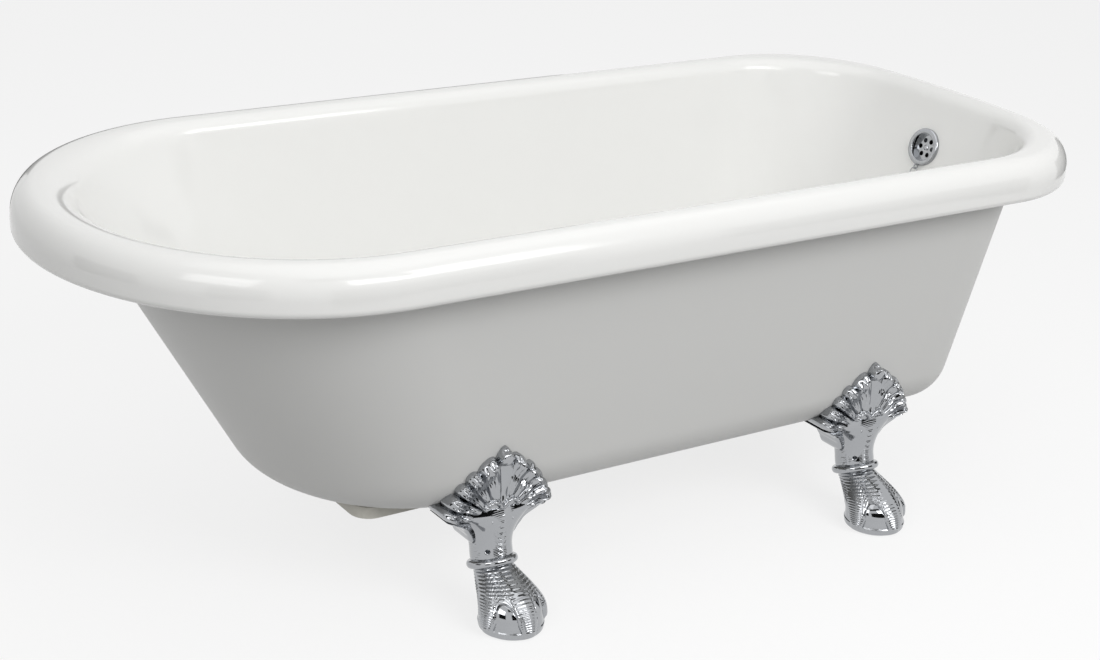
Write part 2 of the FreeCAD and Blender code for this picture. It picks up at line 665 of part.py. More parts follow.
spigot = alongX(rod("banjoSpigot", ROUND_SIDES, Circumradius="spigotRadius", Height="banjoRadius + spigotLength - banjoGroove - 0.5",
                     x="wasteX + banjoGroove + 0.5", z=pipeLevel))
spigotBore = alongX(rod("banjoSpigotBore", ROUND_SIDES, Circumradius="pipeRadius + pipeGap", Height="banjoRadius + spigotLength",
                         x="wasteX + tailRadius + 1", z=pipeLevel))
keep(cut("banjoBored", fuse("banjoBody", banjoRing, spigot), spigotBore), "banjo_body")
nutTop = banjoTop + " - banjoHigh - lowerSealThick"
backnut = rod("backnutHex", 6, Circumradius="backnutFlats / cos(30 deg)", Height="backnutHigh",
              x="wasteX", z=nutTop + " - backnutHigh")
nutBore = rod("backnutBore", ROUND_SIDES, Circumradius="tailRadius + threadGap", Height="backnutHigh",
              x="wasteX", z=nutTop + " - backnutHigh")
keep(cut("backnutBored", backnut, nutBore), "waste_backnut")

# ---------------------------------------------------------------- overflow

cup = flatTurned("roseRing", [
    ("0", "-cupDepth"), ("cupRadius", "-cupDepth"), ("cupRadius", "0"), ("roseRadius", "0"),
    ("roseRadius", "roseHigh / 3"), ("roseRadius - 4", "roseHigh"), ("roseMouth + 1", "roseHigh"),
    ("cupRadius - gridThick", "0"), ("cupRadius - gridThick", "gridThick - cupDepth"), ("0", "gridThick - cupDepth"),
])
inWall(cup)
doc.recompute()


def roseTool(name, across, along, **rules):
    """A round cutter placed in the rose's own axes: across Y, along the wall's slope."""
    made = rod(name, SMALL_SIDES, **rules)
    seat = cup.Placement
    made.Placement = FreeCAD.Placement(seat.multVec(V(along, across, -val("2 * cupDepth"))), seat.Rotation)
    return made


holes = []
for n in range(6):
    turn = math.radians(60 * n + 30)
    holes.append(roseTool("gridHole%d" % n, val("gridPitch") * math.sin(turn), val("gridPitch") * math.cos(turn),
                          Circumradius="gridHole", Height="4 * cupDepth"))
holes.append(roseTool("screwHole", 0, 0, Circumradius="screwRadius + pipeGap", Height="4 * cupDepth"))


def chainEye(name, centre):
    """A flat lug with a hole along Y."""
    disc = rod(name + "Disc", 16, Circumradius="eyeRadius", Height="eyePlate")
    hole = rod(name + "Hole", 16, Circumradius="eyeHole", Height="3 * eyePlate")
    for piece, thick in ((disc, val("eyePlate")), (hole, 3 * val("eyePlate"))):
        piece.Placement = FreeCAD.Placement(centre + V(0, thick / 2, 0), FreeCAD.Rotation(V(1, 0, 0), 90))
    return disc, hole


eyeCentre = roseCentre - slope * (val("roseRadius + eyeRadius") - 2) + intoBath * val("eyeRadius + 0.3")
eyeDisc, eyeHole = chainEye("roseEye", eyeCentre)
keep(cut("roseCut", fuse("roseBody", cup, eyeDisc), fuse("roseHoles", *holes, eyeHole)), "overflow_rose")

screw = flatTurned("screwHead", [
    ("0", "gridThick - cupDepth"), ("screwHead", "gridThick - cupDepth"), ("screwHead", "gridThick - cupDepth + 1"),
    ("screwHead - 2", "gridThick - cupDepth + 2.4"), ("0", "gridThick - cupDepth + 2.4"),
])
shank = flatTurned("screwShank", [("0", "-cupDepth - chamberDeep + 8"), ("screwRadius", "-cupDepth - chamberDeep + 8"),
                              ("screwRadius", "gridThick - cupDepth"), ("0", "gridThick - cupDepth")])
keep(fuse("screwWhole", inWall(screw), inWall(shank)), "overflow_screw")
backFace = "(-shellWall)"
keep(inWall(flatTurned("overflowSealRing", [
    ("overflowHole + 1", backFace + " - overflowSealThick"), ("chamberRadius", backFace + " - overflowSealThick"),
    ("chamberRadius", backFace), ("overflowHole + 1", backFace),
])), "overflow_seal")
chamberFace = "(-shellWall - overflowSealThick)"
chamber = inWall(flatTurned("chamberRing", [
    ("cupRadius + 0.5", chamberFace), ("chamberRadius", chamberFace),
    ("chamberRadius", chamberFace + " - chamberDeep"), ("0", chamberFace + " - chamberDeep"),
    ("0", chamberFace + " - chamberDeep + 6 * chamberWall"),
    ("screwHead + 1", chamberFace + " - chamberDeep + 6 * chamberWall"),
    ("screwHead + 1", chamberFace + " - chamberDeep + chamberWall"),
    ("chamberRadius - chamberWall", chamberFace + " - chamberDeep + chamberWall"),
    ("chamberRadius - chamberWall", chamberFace + " - chamberWall"),
    ("cupRadius + 0.5", chamberFace + " - chamberWall"),
]))
doc.recompute()
chamberMiddle = roseCentre - intoBath * val("shellWall + overflowSealThick + chamberDeep / 2")
pipeX = chamberMiddle.x
pipeTop = chamberMiddle.z - val("chamberRadius") - val("spigotLength")
outlet = rod("chamberSpigot", ROUND_SIDES, Circumradius="spigotRadius", Height="chamberRadius * 0.3 + spigotLength")
outlet.Placement.Base = V(pipeX, 0, pipeTop)
outletBore = rod("chamberSpigotBore", ROUND_SIDES, Circumradius="pipeRadius + pipeGap", Height="chamberRadius * 0.5 + spigotLength")
outletBore.Placement.Base = V(pipeX, 0, pipeTop)
tapped = inWall(rod("chamberTapping", ROUND_SIDES, Circumradius="screwRadius + threadGap", Height="cupDepth + chamberDeep"),
                "cupDepth + chamberDeep - 8")
keep(cut("chamberBored", fuse("chamberBody", chamber, outlet), fuse("chamberBores", outletBore, tapped)), "overflow_chamber")

# ---------------------------------------------------------------- overflow pipe with its two nuts

level = val(pipeLevel)
bend = val("pipeBend")
mouthX = val(banjoMouth)
PIPE_SIDES = 14
BEND_STEPS = 6
# centre line of the pipe and the way it runs there
line = [(V(pipeX, 0, pipeTop + val("spigotLength") - 1), 0)]
for n in range(BEND_STEPS + 1):
    turn = math.pi / 2 * n / BEND_STEPS
    line.append((V(pipeX - bend * (1 - math.cos(turn)), 0, level + bend * (1 - math.sin(turn))), turn))
line.append((V(mouthX - val("spigotLength") + 1, 0, level), math.pi / 2))


def tubeAlong(radius):
    rings = []
    for middle, turn in line:
        across = V(math.cos(turn), 0, -math.sin(turn))
        turns = [2 * math.pi * n / PIPE_SIDES for n in range(PIPE_SIDES)]
        rings.append([middle + (across * math.cos(t) + V(0, math.sin(t), 0)) * radius for t in turns])
    return solidOf(rings)


keep(feature("pipeShape", tubeAlong(val("pipeRadius")).cut(tubeAlong(val("pipeRadius - pipeWall")))), "overflow_pipe")


def pipeNut(label, base, turnIt):
    """A compression nut over the mouth of a spigot: a wide bore over the spigot, a narrow one over the pipe."""
    nut = rod(label + "Hex", 6, Circumradius="nutFlats / cos(30 deg)", Height="nutLength")
    over = rod(label + "Over", ROUND_SIDES, Circumradius="spigotRadius + threadGap", Height="nutLength / 2")
    through = rod(label + "Through", ROUND_SIDES, Circumradius="pipeRadius + pipeGap", Height="nutLength")
    made = cut(label + "Cut", nut, fuse(label + "Bores", over, through))
    made.Placement = FreeCAD.Placement(base, turnIt)
    return keep(made, label)


pipeNut("overflow_nut", V(pipeX, 0, pipeTop + val("nutLength / 2")), FreeCAD.Rotation(V(1, 0, 0), 180))
pipeNut("banjo_nut", V(mouthX - val("nutLength / 2"), 0, level),
        FreeCAD.Rotation(V(0, 1, 0), 90).multiply(FreeCAD.Rotation(UP, 30)))

# ---------------------------------------------------------------- plug

plugFace = sealTop + " + flangeHigh + plugGap"
taper = "(seatRadius - tailBore) * (plugDeep - flangeHigh) / seatDepth"
keep(onWaste(flatTurned("plugRound", [
    ("0", "-plugDeep"), ("seatRadius - 2 * plugGap - " + taper, "-plugDeep"),
    ("seatRadius - 2 * plugGap", "-flangeHigh / 2"), ("plugLip", "0"), ("plugLip", "plugLipThick"),
    ("0", "plugLipThick"),
]), plugFace), "plug_rubber")
capLevel = plugFace + " + plugLipThick"
capDisc = onWaste(flatTurned("capRound", [
    ("0", "0"), ("capRadius", "0"), ("capRadius", "capThick / 3"), ("capRadius - capThick", "capThick"), ("0", "capThick"),
]), capLevel)
doc.recompute()
plugEye = V(val("wasteX"), 0, val(capLevel) + val("capThick + eyeRadius") - 0.6)
plugDisc, plugHole = chainEye("plugEye", plugEye)
keep(cut("capCut", fuse("capBody", capDisc, plugDisc), plugHole), "plug_cap")

# ---------------------------------------------------------------- chain in two hanging stretches

def loop(length, width, wire, sides):
    """A closed ring of square wire about the origin: long along X, lying in the XY plane."""
    low = -wire / 2

    def oval(over):
        half, side = length / 2 - over, width / 2 - over
        if sides > 8:
            turns = [2 * math.pi * n / sides for n in range(sides)]
            return [V(half * math.cos(t), side * math.sin(t), low) for t in turns]
        quarter = [(half, side * 0.45), (half - side * 0.55, side)]
        corners = quarter + [(-x, y) for x, y in reversed(quarter)]
        corners += [(-x, -y) for x, y in quarter] + [(x, -y) for x, y in reversed(quarter)]
        return [V(x, y, low) for x, y in corners]

    outer, inner = [Part.Face(Part.makePolygon(line + line[:1])).extrude(V(0, 0, wire))
                    for line in (oval(0), oval(wire))]
    return outer.cut(inner)


def laid(shape, middle, along, twist):
    """Turns a loop so that its length lies along a direction in the XZ plane, twisted about it."""
    turn = math.degrees(math.atan2(-along.z, along.x))
    placed = shape.copy()
    placed.Placement = FreeCAD.Placement(middle, FreeCAD.Rotation(V(0, 1, 0), turn).multiply(
        FreeCAD.Rotation(V(1, 0, 0), twist)))
    return placed


play = val("linkPlay")
pitch = val("linkLength - 2 * linkWire") - play
# a ring's wire lies at the edge of its eye: from the eye's centre to the wire's inner face
ringSeat = val("sqrt((eyeHole - eyeRest) ^ 2 - (ringWire / 2) ^ 2)")
ringEnd = ringSeat + val("2 * (ringRadius - ringWire)")
plugRingEnd = ringSeat + val("2 * (plugRing - ringWire)")
firstLink = ringEnd - play + val("linkLength / 2 - linkWire")
span = eyeCentre - plugEye
reach = span.Length
links = math.ceil((reach + val("chainSlack") - firstLink + (pitch + play) / 2 - plugRingEnd) / pitch)
upperLinks = round(links * val("upperShare"))
upperLength = firstLink + pitch * (upperLinks - 0.5)
lowerLength = pitch * (links - upperLinks) - play / 2 + plugRingEnd
straight = math.atan2(span.z, span.x)
sag = math.acos((upperLength ** 2 + reach ** 2 - lowerLength ** 2) / (2 * upperLength * reach))
upperWay = V(-math.cos(straight + sag), 0, -math.sin(straight + sag))
knee = eyeCentre + upperWay * upperLength
lowerWay = (plugEye - knee).normalize()
print("chain of", links, "links: eye", eyeCentre, "knee", knee, "plug eye", plugEye)
link = loop(val("linkLength"), val("linkWidth"), val("linkWire"), 8)
splitRing = loop(val("2 * ringRadius"), val("2 * ringRadius"), val("ringWire"), 12)
keep(feature("splitRingShape", laid(splitRing, eyeCentre + upperWay * (ringEnd - val("ringRadius - ringWire")),
                                    upperWay, 0)), "split_ring")
upper = [laid(link, eyeCentre + upperWay * (firstLink + pitch * n), upperWay, 90 * ((n + 1) % 2))
         for n in range(upperLinks)]
keep(feature("upperChain", Part.makeCompound(upper)), "chain_upper")
lower = [laid(link, knee + lowerWay * pitch * (n + 0.5), lowerWay, 90 * ((n + upperLinks + 1) % 2))
         for n in range(links - upperLinks)]
keep(feature("lowerChain", Part.makeCompound(lower)), "chain_lower")
smallRing = loop(val("2 * plugRing"), val("2 * plugRing"), val("ringWire"), 10)
keep(feature("plugRingShape", laid(smallRing, plugEye - lowerWay * (plugRingEnd - val("plugRing - ringWire")),
                                   lowerWay, 90 * ((links + 1) % 2))), "plug_ring")

# ---------------------------------------------------------------- check and write

doc.recompute()
for thing in doc.Objects:
    if "Invalid" in thing.State or "Error" in thing.State:
        raise SystemExit("%s could not be built" % thing.Label)
shell.Label = "bath_shell"
os.makedirs("parts", exist_ok=True)
for thing in NODES:
    if thing.Shape.isNull() or not thing.Shape.isValid():
        raise SystemExit("%s is not a valid solid" % thing.Label)
for thing in NODES:
    box = thing.Shape.BoundBox
    print("%-20s %2d solid %10.1f mm3  x %.1f..%.1f y %.1f..%.1f z %.1f..%.1f" % (
        thing.Label, len(thing.Shape.Solids), thing.Shape.Volume, box.XMin, box.XMax, box.YMin, box.YMax,
        box.ZMin, box.ZMax))
    thing.Shape.exportStep("parts/%s.step" % thing.Label)
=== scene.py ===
import json
import math

import bmesh
import bpy
import numpy as np
from mathutils import Matrix, Vector


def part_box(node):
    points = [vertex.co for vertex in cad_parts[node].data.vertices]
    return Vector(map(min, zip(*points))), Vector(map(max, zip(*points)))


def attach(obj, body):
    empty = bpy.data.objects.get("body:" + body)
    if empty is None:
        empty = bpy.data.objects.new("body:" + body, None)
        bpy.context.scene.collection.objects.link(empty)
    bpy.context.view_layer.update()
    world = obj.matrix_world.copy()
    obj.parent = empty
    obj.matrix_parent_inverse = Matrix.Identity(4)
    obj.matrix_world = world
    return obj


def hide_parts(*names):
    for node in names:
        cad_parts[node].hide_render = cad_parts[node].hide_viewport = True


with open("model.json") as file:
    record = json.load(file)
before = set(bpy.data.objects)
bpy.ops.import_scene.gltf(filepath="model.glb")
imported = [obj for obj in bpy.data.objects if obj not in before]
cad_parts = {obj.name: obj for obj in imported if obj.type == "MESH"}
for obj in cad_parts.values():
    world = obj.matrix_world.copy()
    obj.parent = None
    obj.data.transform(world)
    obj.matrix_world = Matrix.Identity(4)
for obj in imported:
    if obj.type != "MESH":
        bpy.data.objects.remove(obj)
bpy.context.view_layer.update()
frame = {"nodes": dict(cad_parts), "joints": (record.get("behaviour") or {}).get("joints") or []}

mm = 0.001
scene = bpy.context.scene

# photograph's camera: place and far in metres, angles in degrees, sensor in millimetres, the rest in pixels
camera = {
    "place": (-1.70977, -2.38468, 1.45135), "yaw": 34.063, "pitch": 21.159, "roll": 3.248,
    "focal": 2000.18, "middle": (501.42, 319.08), "frameSize": (1100, 660), "sensor": 36, "far": 60,
}


def addCamera():
    yaw, pitch, roll = (math.radians(camera[k]) for k in ("yaw", "pitch", "roll"))
    ahead = Vector((math.sin(yaw) * math.cos(pitch), math.cos(yaw) * math.cos(pitch), -math.sin(pitch)))
    level = Vector((math.cos(yaw), -math.sin(yaw), 0))
    upright = level.cross(ahead)
    right = level * math.cos(roll) + upright * math.sin(roll)
    up = upright * math.cos(roll) - level * math.sin(roll)
    wide, high = camera["frameSize"]
    data = bpy.data.cameras.new("photoCamera")
    data.sensor_width = camera["sensor"]
    data.lens = camera["focal"] / wide * data.sensor_width
    data.shift_x = (wide / 2 - camera["middle"][0]) / wide
    data.shift_y = (camera["middle"][1] - high / 2) / wide
    data.clip_end = camera["far"]
    made = bpy.data.objects.new("photoCamera", data)
    turn = Matrix((right, up, -ahead)).transposed()
    made.matrix_world = Matrix.Translation(camera["place"]) @ turn.to_4x4()
    scene.collection.objects.link(made)
    scene.camera = made


addCamera()
print("camera set")


# hex sRGB colour to the linear values that a shader takes
def linear(code):
    parts = [int(code[n:n + 2], 16) / 255 for n in (0, 2, 4)]
    return [p / 12.92 if p <= 0.04045 else ((p + 0.055) / 1.055) ** 2.4 for p in parts] + [1]


# adds a node: settings name its properties or inputs, links feed its inputs, in0 being the first of them
def node(tree, kind, settings=(), **links):
    made = tree.nodes.new(kind)
    for key, value in dict(settings).items():
        if key in made.inputs:
            made.inputs[key].default_value = value
        else:
            setattr(made, key, value)
    for key, source in links.items():
        tree.links.new(source, made.inputs[int(key[2:]) if key.startswith("in") else key])
    return made


def material(name):
    made = bpy.data.materials.new(name)
    made.use_nodes = True
    return made, made.node_tree, made.node_tree.nodes["Principled BSDF"]


# cast acrylic sheet, vacuum formed and polished: deep clear gloss with a very faint ripple of the mould
acrylic = {
    "colour": "f4f4f2", "rough": (0.07, 0.13), "hazePerMetre": 9.0, "ripple": 180,
    "swell": {"Strength": 0.05, "Distance": 0.004}, "ior": 1.49, "milky": 0.06, "milkyReach": 0.006,
}


def whiteAcrylic():
    made, tree, shader = material("vacuumFormedAcrylic")
    spot = node(tree, "ShaderNodeTexCoord").outputs["Object"]
    ripple = node(tree, "ShaderNodeTexNoise", {"Scale": 1000 / acrylic["ripple"], "Detail": 2.0}, Vector=spot)
    swell = node(tree, "ShaderNodeBump", acrylic["swell"], Height=ripple.outputs["Fac"])
    tree.links.new(swell.outputs["Normal"], shader.inputs["Normal"])
    haze = node(tree, "ShaderNodeTexNoise", {"Scale": acrylic["hazePerMetre"], "Detail": 4.0}, Vector=spot)
    spread = node(tree, "ShaderNodeMapRange", {"To Min": acrylic["rough"][0], "To Max": acrylic["rough"][1]},
                  Value=haze.outputs["Fac"])
    tree.links.new(spread.outputs["Result"], shader.inputs["Roughness"])
    shader.inputs["Base Color"].default_value = linear(acrylic["colour"])
    shader.inputs["IOR"].default_value = acrylic["ior"]
    shader.inputs["Subsurface Weight"].default_value = acrylic["milky"]
    shader.inputs["Subsurface Radius"].default_value = [acrylic["milkyReach"]] * 3
    return made


# glass-fibre backing sprayed with gelcoat: satin, faint orange peel; a little greyer than the acrylic, partly
# the gelcoat's own tone and partly painted shade of the outside, which faces down and out under the rim
gelcoat = {
    "colour": "dcdcda", "rough": (0.36, 0.5), "cloudPerMetre": 4.0, "peel": 2.2,
    "bump": {"Strength": 0.08, "Distance": 0.0004},
}


def satinGelcoat():
    made, tree, shader = material("sprayedGelcoat")
    spot = node(tree, "ShaderNodeTexCoord").outputs["Object"]
    peel = node(tree, "ShaderNodeTexNoise", {"Scale": 1000 / gelcoat["peel"], "Detail": 2.0}, Vector=spot)
    bump = node(tree, "ShaderNodeBump", gelcoat["bump"], Height=peel.outputs["Fac"])
    tree.links.new(bump.outputs["Normal"], shader.inputs["Normal"])
    cloud = node(tree, "ShaderNodeTexNoise", {"Scale": gelcoat["cloudPerMetre"], "Detail": 5.0}, Vector=spot)
    spread = node(tree, "ShaderNodeMapRange", {"To Min": gelcoat["rough"][0], "To Max": gelcoat["rough"][1]},
                  Value=cloud.outputs["Fac"])
    tree.links.new(spread.outputs["Result"], shader.inputs["Roughness"])
    # the greyer base colour is partly painted shade of the outside under the rim
    shader.inputs["Base Color"].default_value = linear(gelcoat["colour"])
    return made


# chrome plate on cast or turned brass and on wire: mirror bright, a trace of wiping marks
chrome = {"colour": "a9abae", "turned": 0.055, "wire": 0.12, "cast": 0.05, "smearPerMetre": 120.0}


def chromePlate(name, rough):
    made, tree, shader = material(name)
    spot = node(tree, "ShaderNodeTexCoord").outputs["Object"]
    smear = node(tree, "ShaderNodeTexNoise", {"Scale": chrome["smearPerMetre"], "Detail": 3.0}, Vector=spot)
    spread = node(tree, "ShaderNodeMapRange", {"To Min": rough * 0.7, "To Max": rough * 1.8},
                  Value=smear.outputs["Fac"])
    tree.links.new(spread.outputs["Result"], shader.inputs["Roughness"])
    shader.inputs["Base Color"].default_value = linear(chrome["colour"])
    shader.inputs["Metallic"].default_value = 1
    return made


# grain and depth of these four are in millimetres
# zinc plated steel: bright grey, softly dulled by barrel plating
zinc = {"colours": ("a6a8ab", "babcbe"), "rough": 0.34, "metallic": 1, "grain": 3, "depth": 0.02}
# turned brass left bare under the base: warm yellow with faint tool marks
brass = {"colours": ("b58e4a", "c9a45c"), "rough": 0.3, "metallic": 1, "grain": 4, "depth": 0.01}
# moulded rubber: dull black with a faint bloom
rubber = {"colours": ("111112", "1b1b1c"), "rough": 0.62, "metallic": 0, "grain": 1.5, "depth": 0.03}
# chipboard glassed over with white resin: lumpy off-white, half gloss
glassed = {"colours": ("c9c6bc", "dad8d0"), "rough": 0.45, "metallic": 0, "grain": 9, "depth": 0.5}


def plainFinish(name, finish):
    made, tree, shader = material(name)
    spot = node(tree, "ShaderNodeTexCoord").outputs["Object"]
    noise = node(tree, "ShaderNodeTexNoise", {"Scale": 1000 / finish["grain"], "Detail": 4.0}, Vector=spot)
    bump = node(tree, "ShaderNodeBump", {"Strength": 0.5, "Distance": finish["depth"] * mm},
                Height=noise.outputs["Fac"])
    tree.links.new(bump.outputs["Normal"], shader.inputs["Normal"])
    dark, light = (linear(code) for code in finish["colours"])
    shade = node(tree, "ShaderNodeMixRGB", {"Color1": dark, "Color2": light}, Fac=noise.outputs["Fac"])
    tree.links.new(shade.outputs["Color"], shader.inputs["Base Color"])
    shader.inputs["Roughness"].default_value = finish["rough"]
    shader.inputs["Metallic"].default_value = finish["metallic"]
    return made


acrylicFinish = whiteAcrylic()
gelcoatWithPaintedShade = satinGelcoat()
fittingChrome = chromePlate("chromedBrass", chrome["turned"])
chainChrome = chromePlate("chromedWire", chrome["wire"])
footChrome = chromePlate("chromedCasting", chrome["cast"])
rubberFinish = plainFinish("mouldedRubber", rubber)
nodeFinish = {
    "base_board": plainFinish("glassedBoard", glassed), "foot_bolts": plainFinish("brightZincPlate", zinc),
    "waste_backnut": plainFinish("turnedBrass", brass), "waste_seal_top": rubberFinish,
    "waste_seal_middle": rubberFinish, "waste_seal_bottom": rubberFinish, "overflow_seal": rubberFinish,
    "plug_rubber": rubberFinish, "chain_upper": chainChrome, "chain_lower": chainChrome,
    "split_ring": chainChrome, "plug_ring": chainChrome,
}
for name in frame["nodes"]:
    thing = bpy.data.objects.get(name)
    if thing is None:
        print("no object for", name)
        continue
    thing.data.materials.clear()
    thing.data.materials.append(nodeFinish.get(name, fittingChrome))
print("finishes made")


def meshOf(name, verts, faces, finish):
    data = bpy.data.meshes.new(name)
    data.from_pydata(verts.reshape(-1, 3).tolist(), [], faces)
    data.materials.append(finish)
    data.shade_smooth()
    made = bpy.data.objects.new(name, data)
    scene.collection.objects.link(made)
    return made


# quads between neighbouring rows of a grid whose rows close on themselves; a ring's last row joins its first
def gridFaces(rows, columns, ring=False):
    r = np.arange(rows if ring else rows - 1)[:, None]
    c = np.arange(columns)[None, :]
    down, right = (r + 1) % rows, (c + 1) % columns
    corners = [r * columns + c, r * columns + right, down * columns + right, down * columns + c]
    return np.stack(corners, -1).reshape(-1, 4).tolist()


# one face over each open end of such a grid
def endFaces(rows, columns):
    return [list(range(columns))[::-1], [(rows - 1) * columns + n for n in range(columns)]]


# what each new piece moves with and which solid it stands in for, that solid being hidden
def stand(piece, body, nodeName):
    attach(piece, body)
    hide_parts(nodeName)


# bath, in millimetres: inset and drop are measured in from the rim's outline and down from its crest;
# head, tap and side give the wall's inset at the crest and at the base, corner its radius there
bath = {
    "rimCorner": 231, "tapBow": 1500, "rollWidth": 33, "rollDrop": 42, "rimFace": 67,
    "lipRound": 11, "lipReturn": 17, "crestFlat": 2, "wall": 6.5, "depth": 455, "underRim": 6,
    "head": (65.9, 340), "tap": (48.2, 179), "side": (50.9, 126.2), "corner": (227, 91),
    "baseRound": 78, "edgeSwell": 0.9,
}
# steps round the head, along a side, round a tap corner and over the bow
planSteps = (120, 40, 30, 40)
# steps of each stretch of the section
sectionSteps = {
    "base": 20, "outside": 24, "backNose": 16, "backLip": 8, "nose": 28, "lip": 12,
    "edge": 9, "mouth": 18, "inside": 30,
}
shellLow, shellHigh = (np.array(corner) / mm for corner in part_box("bath_shell"))
bathLength, bathWidth = shellHigh[0] - shellLow[0], shellHigh[1] - shellLow[1]
rimHeight = shellHigh[2]
baseLevel = rimHeight - bath["depth"]


# plan curves, one row each: half round head, straight sides, two corner arcs and a bowed tap end
def planGrid(head, tap, side, corner, bow, drop):
    half = bathWidth / 2 - side
    headX = half + head - bathLength / 2
    bowX = bathLength / 2 - tap - bow
    meet = np.arcsin((half - corner) / (bow - corner))
    cornerX = bowX + (bow - corner) * np.cos(meet)
    share = [np.linspace(0, 1, n, endpoint=False)[None, :] for n in planSteps]
    turn = math.pi / 2 + math.pi * share[0]
    turnIn = -math.pi / 2 + (math.pi / 2 - meet) * share[2]
    turnBow = -meet + 2 * meet * share[3]
    turnOut = meet + (math.pi / 2 - meet) * share[2]
    x = [
        headX + half * np.cos(turn), headX + (cornerX - headX) * share[1], cornerX + corner * np.cos(turnIn),
        bowX + bow * np.cos(turnBow), cornerX + corner * np.cos(turnOut),
        cornerX + (headX - cornerX) * share[1],
    ]
    y = [
        half * np.sin(turn), -half + 0 * share[1], corner - half + corner * np.sin(turnIn),
        bow * np.sin(turnBow), half - corner + corner * np.sin(turnOut), half + 0 * share[1],
    ]
    x, y = np.concatenate(x, 1), np.concatenate(y, 1)
    return np.stack([x, y, rimHeight - drop + 0 * x], -1)


# inset of the bowl at a drop: rolled mouth arc, leaning wall, base arc; and that of the wall's line alone
def bowlInset(side, drop, skin):
    crest, base = bath[side]
    start = bath["rollWidth"] + bath["crestFlat"]
    lean = (base - crest) / bath["depth"]
    slant = math.hypot(1, lean)
    rise = lean / slant
    wall = crest + skin * slant
    roll = (wall - start) / math.tan((math.pi / 2 - math.atan(lean)) / 2)
    mouth = start + np.sqrt(np.maximum(0, 2 * roll * drop - drop * drop))
    bottom = bath["depth"] - skin
    rounded = bath["baseRound"] - skin
    middle = wall + lean * (bottom - rounded) + rounded * slant
    under = middle - np.sqrt(np.maximum(0, rounded ** 2 - (drop - bottom + rounded) ** 2))
    inset = np.where(drop > bottom - rounded * (1 - rise), under, wall + lean * drop)
    if skin:
        inset = np.where(drop < roll * (1 - rise), mouth, inset)
    return inset, wall + lean * drop


# rows of the bowl, moved in by skin: its plan at each drop, the corners' radius falling in a straight line
def bowlRows(drop, skin):
    drop = np.array(drop, float)[:, None]
    head, tap, side = (bowlInset(k, drop, skin) for k in ("head", "tap", "side"))
    corner = bath["corner"][0] + (bath["corner"][1] - bath["corner"][0]) * drop / bath["depth"] - skin
    corner = corner - (side[0] - side[1])
    return planGrid(head[0], tap[0], side[0], corner, bath["tapBow"], drop)


# rows of the rim: its outline moved in evenly by each inset
def rimRows(inset, drop):
    inset, drop = np.array(inset, float)[:, None], np.array(drop, float)[:, None]
    return planGrid(inset, inset, inset, bath["rimCorner"] - inset, bath["tapBow"] - inset, drop)


# crest to lip, moved in by skin: a quarter ellipse, a straight face, a quarter circle
def rimSection(skin, noseSteps, lipSteps):
    turn = np.linspace(0, math.pi / 2, noseSteps)
    wide, high = bath["rollWidth"], bath["rollDrop"]
    inset = wide - (wide - skin) * np.sin(turn)
    drop = high - (high - skin) * np.cos(turn)
    turn = np.linspace(0, math.pi / 2, lipSteps)
    lip, face = bath["lipRound"], bath["rimFace"]
    inset = np.concatenate([inset, lip - (lip - skin) * np.cos(turn)])
    drop = np.concatenate([drop, face - lip + (lip - skin) * np.sin(turn)])
    return inset, drop


# rises from 0 to 1 as a quarter circle does
def quarter(steps):
    return 1 - np.cos(np.linspace(0, math.pi / 2, steps))


# one closed skin: up the outside, under and round the rim, over the crest and down the inside
def bathShell():
    wall, depth = bath["wall"], bath["depth"]
    underArc = depth - quarter(sectionSteps["base"]) * bath["baseRound"]
    upOutside = np.linspace(underArc[-1], wall + bath["underRim"], sectionSteps["outside"])
    outside = np.concatenate([underArc, upOutside[1:]])
    innerInset, innerDrop = rimSection(wall, sectionSteps["backNose"], sectionSteps["backLip"])
    outerInset, outerDrop = rimSection(0, sectionSteps["nose"], sectionSteps["lip"])
    # half round edge of the lip where it turns in under the rim
    edge = np.linspace(0, math.pi, sectionSteps["edge"])
    edgeInset = bath["lipReturn"] + wall / 2 * bath["edgeSwell"] * np.sin(edge)
    edgeDrop = bath["rimFace"] - wall / 2 - wall / 2 * np.cos(edge)
    mouth = quarter(sectionSteps["mouth"]) * bath["rollWidth"]
    floorArc = quarter(sectionSteps["base"]) * (bath["baseRound"] - wall)
    inside = depth - wall - floorArc[::-1]
    inside = np.concatenate([np.linspace(mouth[-1], inside[0], sectionSteps["inside"])[1:-1], inside])
    grid = np.concatenate([
        bowlRows(outside, 0), rimRows(innerInset, innerDrop), rimRows(edgeInset, edgeDrop),
        rimRows(outerInset[::-1], outerDrop[::-1]), bowlRows(mouth, wall), bowlRows(inside, wall),
    ])
    count, around = grid.shape[:2]
    faces = gridFaces(count, around) + endFaces(count, around)
    made = meshOf("bathShell", grid * mm, faces, acrylicFinish)
    # gelcoat on the outside, under the base and behind the rim, acrylic on the rest
    # the gelcoat's greyer colour carries painted shade onto the outside and the underside of the rim
    made.data.materials.append(gelcoatWithPaintedShade)
    slots = np.zeros(len(faces), int)
    slots[:(len(outside) + len(innerInset) - 1) * around] = 1
    slots[-2] = 1
    made.data.polygons.foreach_set("material_index", slots)
    return made


bathPiece = bathShell()
stand(bathPiece, "bath", "bath_shell")
print("bath", len(bathPiece.data.polygons))

creaseAngle = math.radians(40)


# smooth curve through knots: cubic Hermite pieces whose slopes are the central differences
def through(knots, values, at):
    knots, values = np.array(knots, float), np.array(values, float)
    slope = np.gradient(values, knots)
    n = np.clip(np.searchsorted(knots, at) - 1, 0, len(knots) - 2)
    span = knots[n + 1] - knots[n]
    t = np.clip((at - knots[n]) / span, 0, 1)
    return ((1 + 2 * t) * (1 - t) ** 2 * values[n] + t * (1 - t) ** 2 * span * slope[n]
            + t * t * (3 - 2 * t) * values[n + 1] + t * t * (t - 1) * span * slope[n + 1])


# smooth step from 0 at low to 1 at high
def ramp(low, high, at):
    t = np.clip((at - low) / (high - low), 0, 1)
    return t * t * (3 - 2 * t)


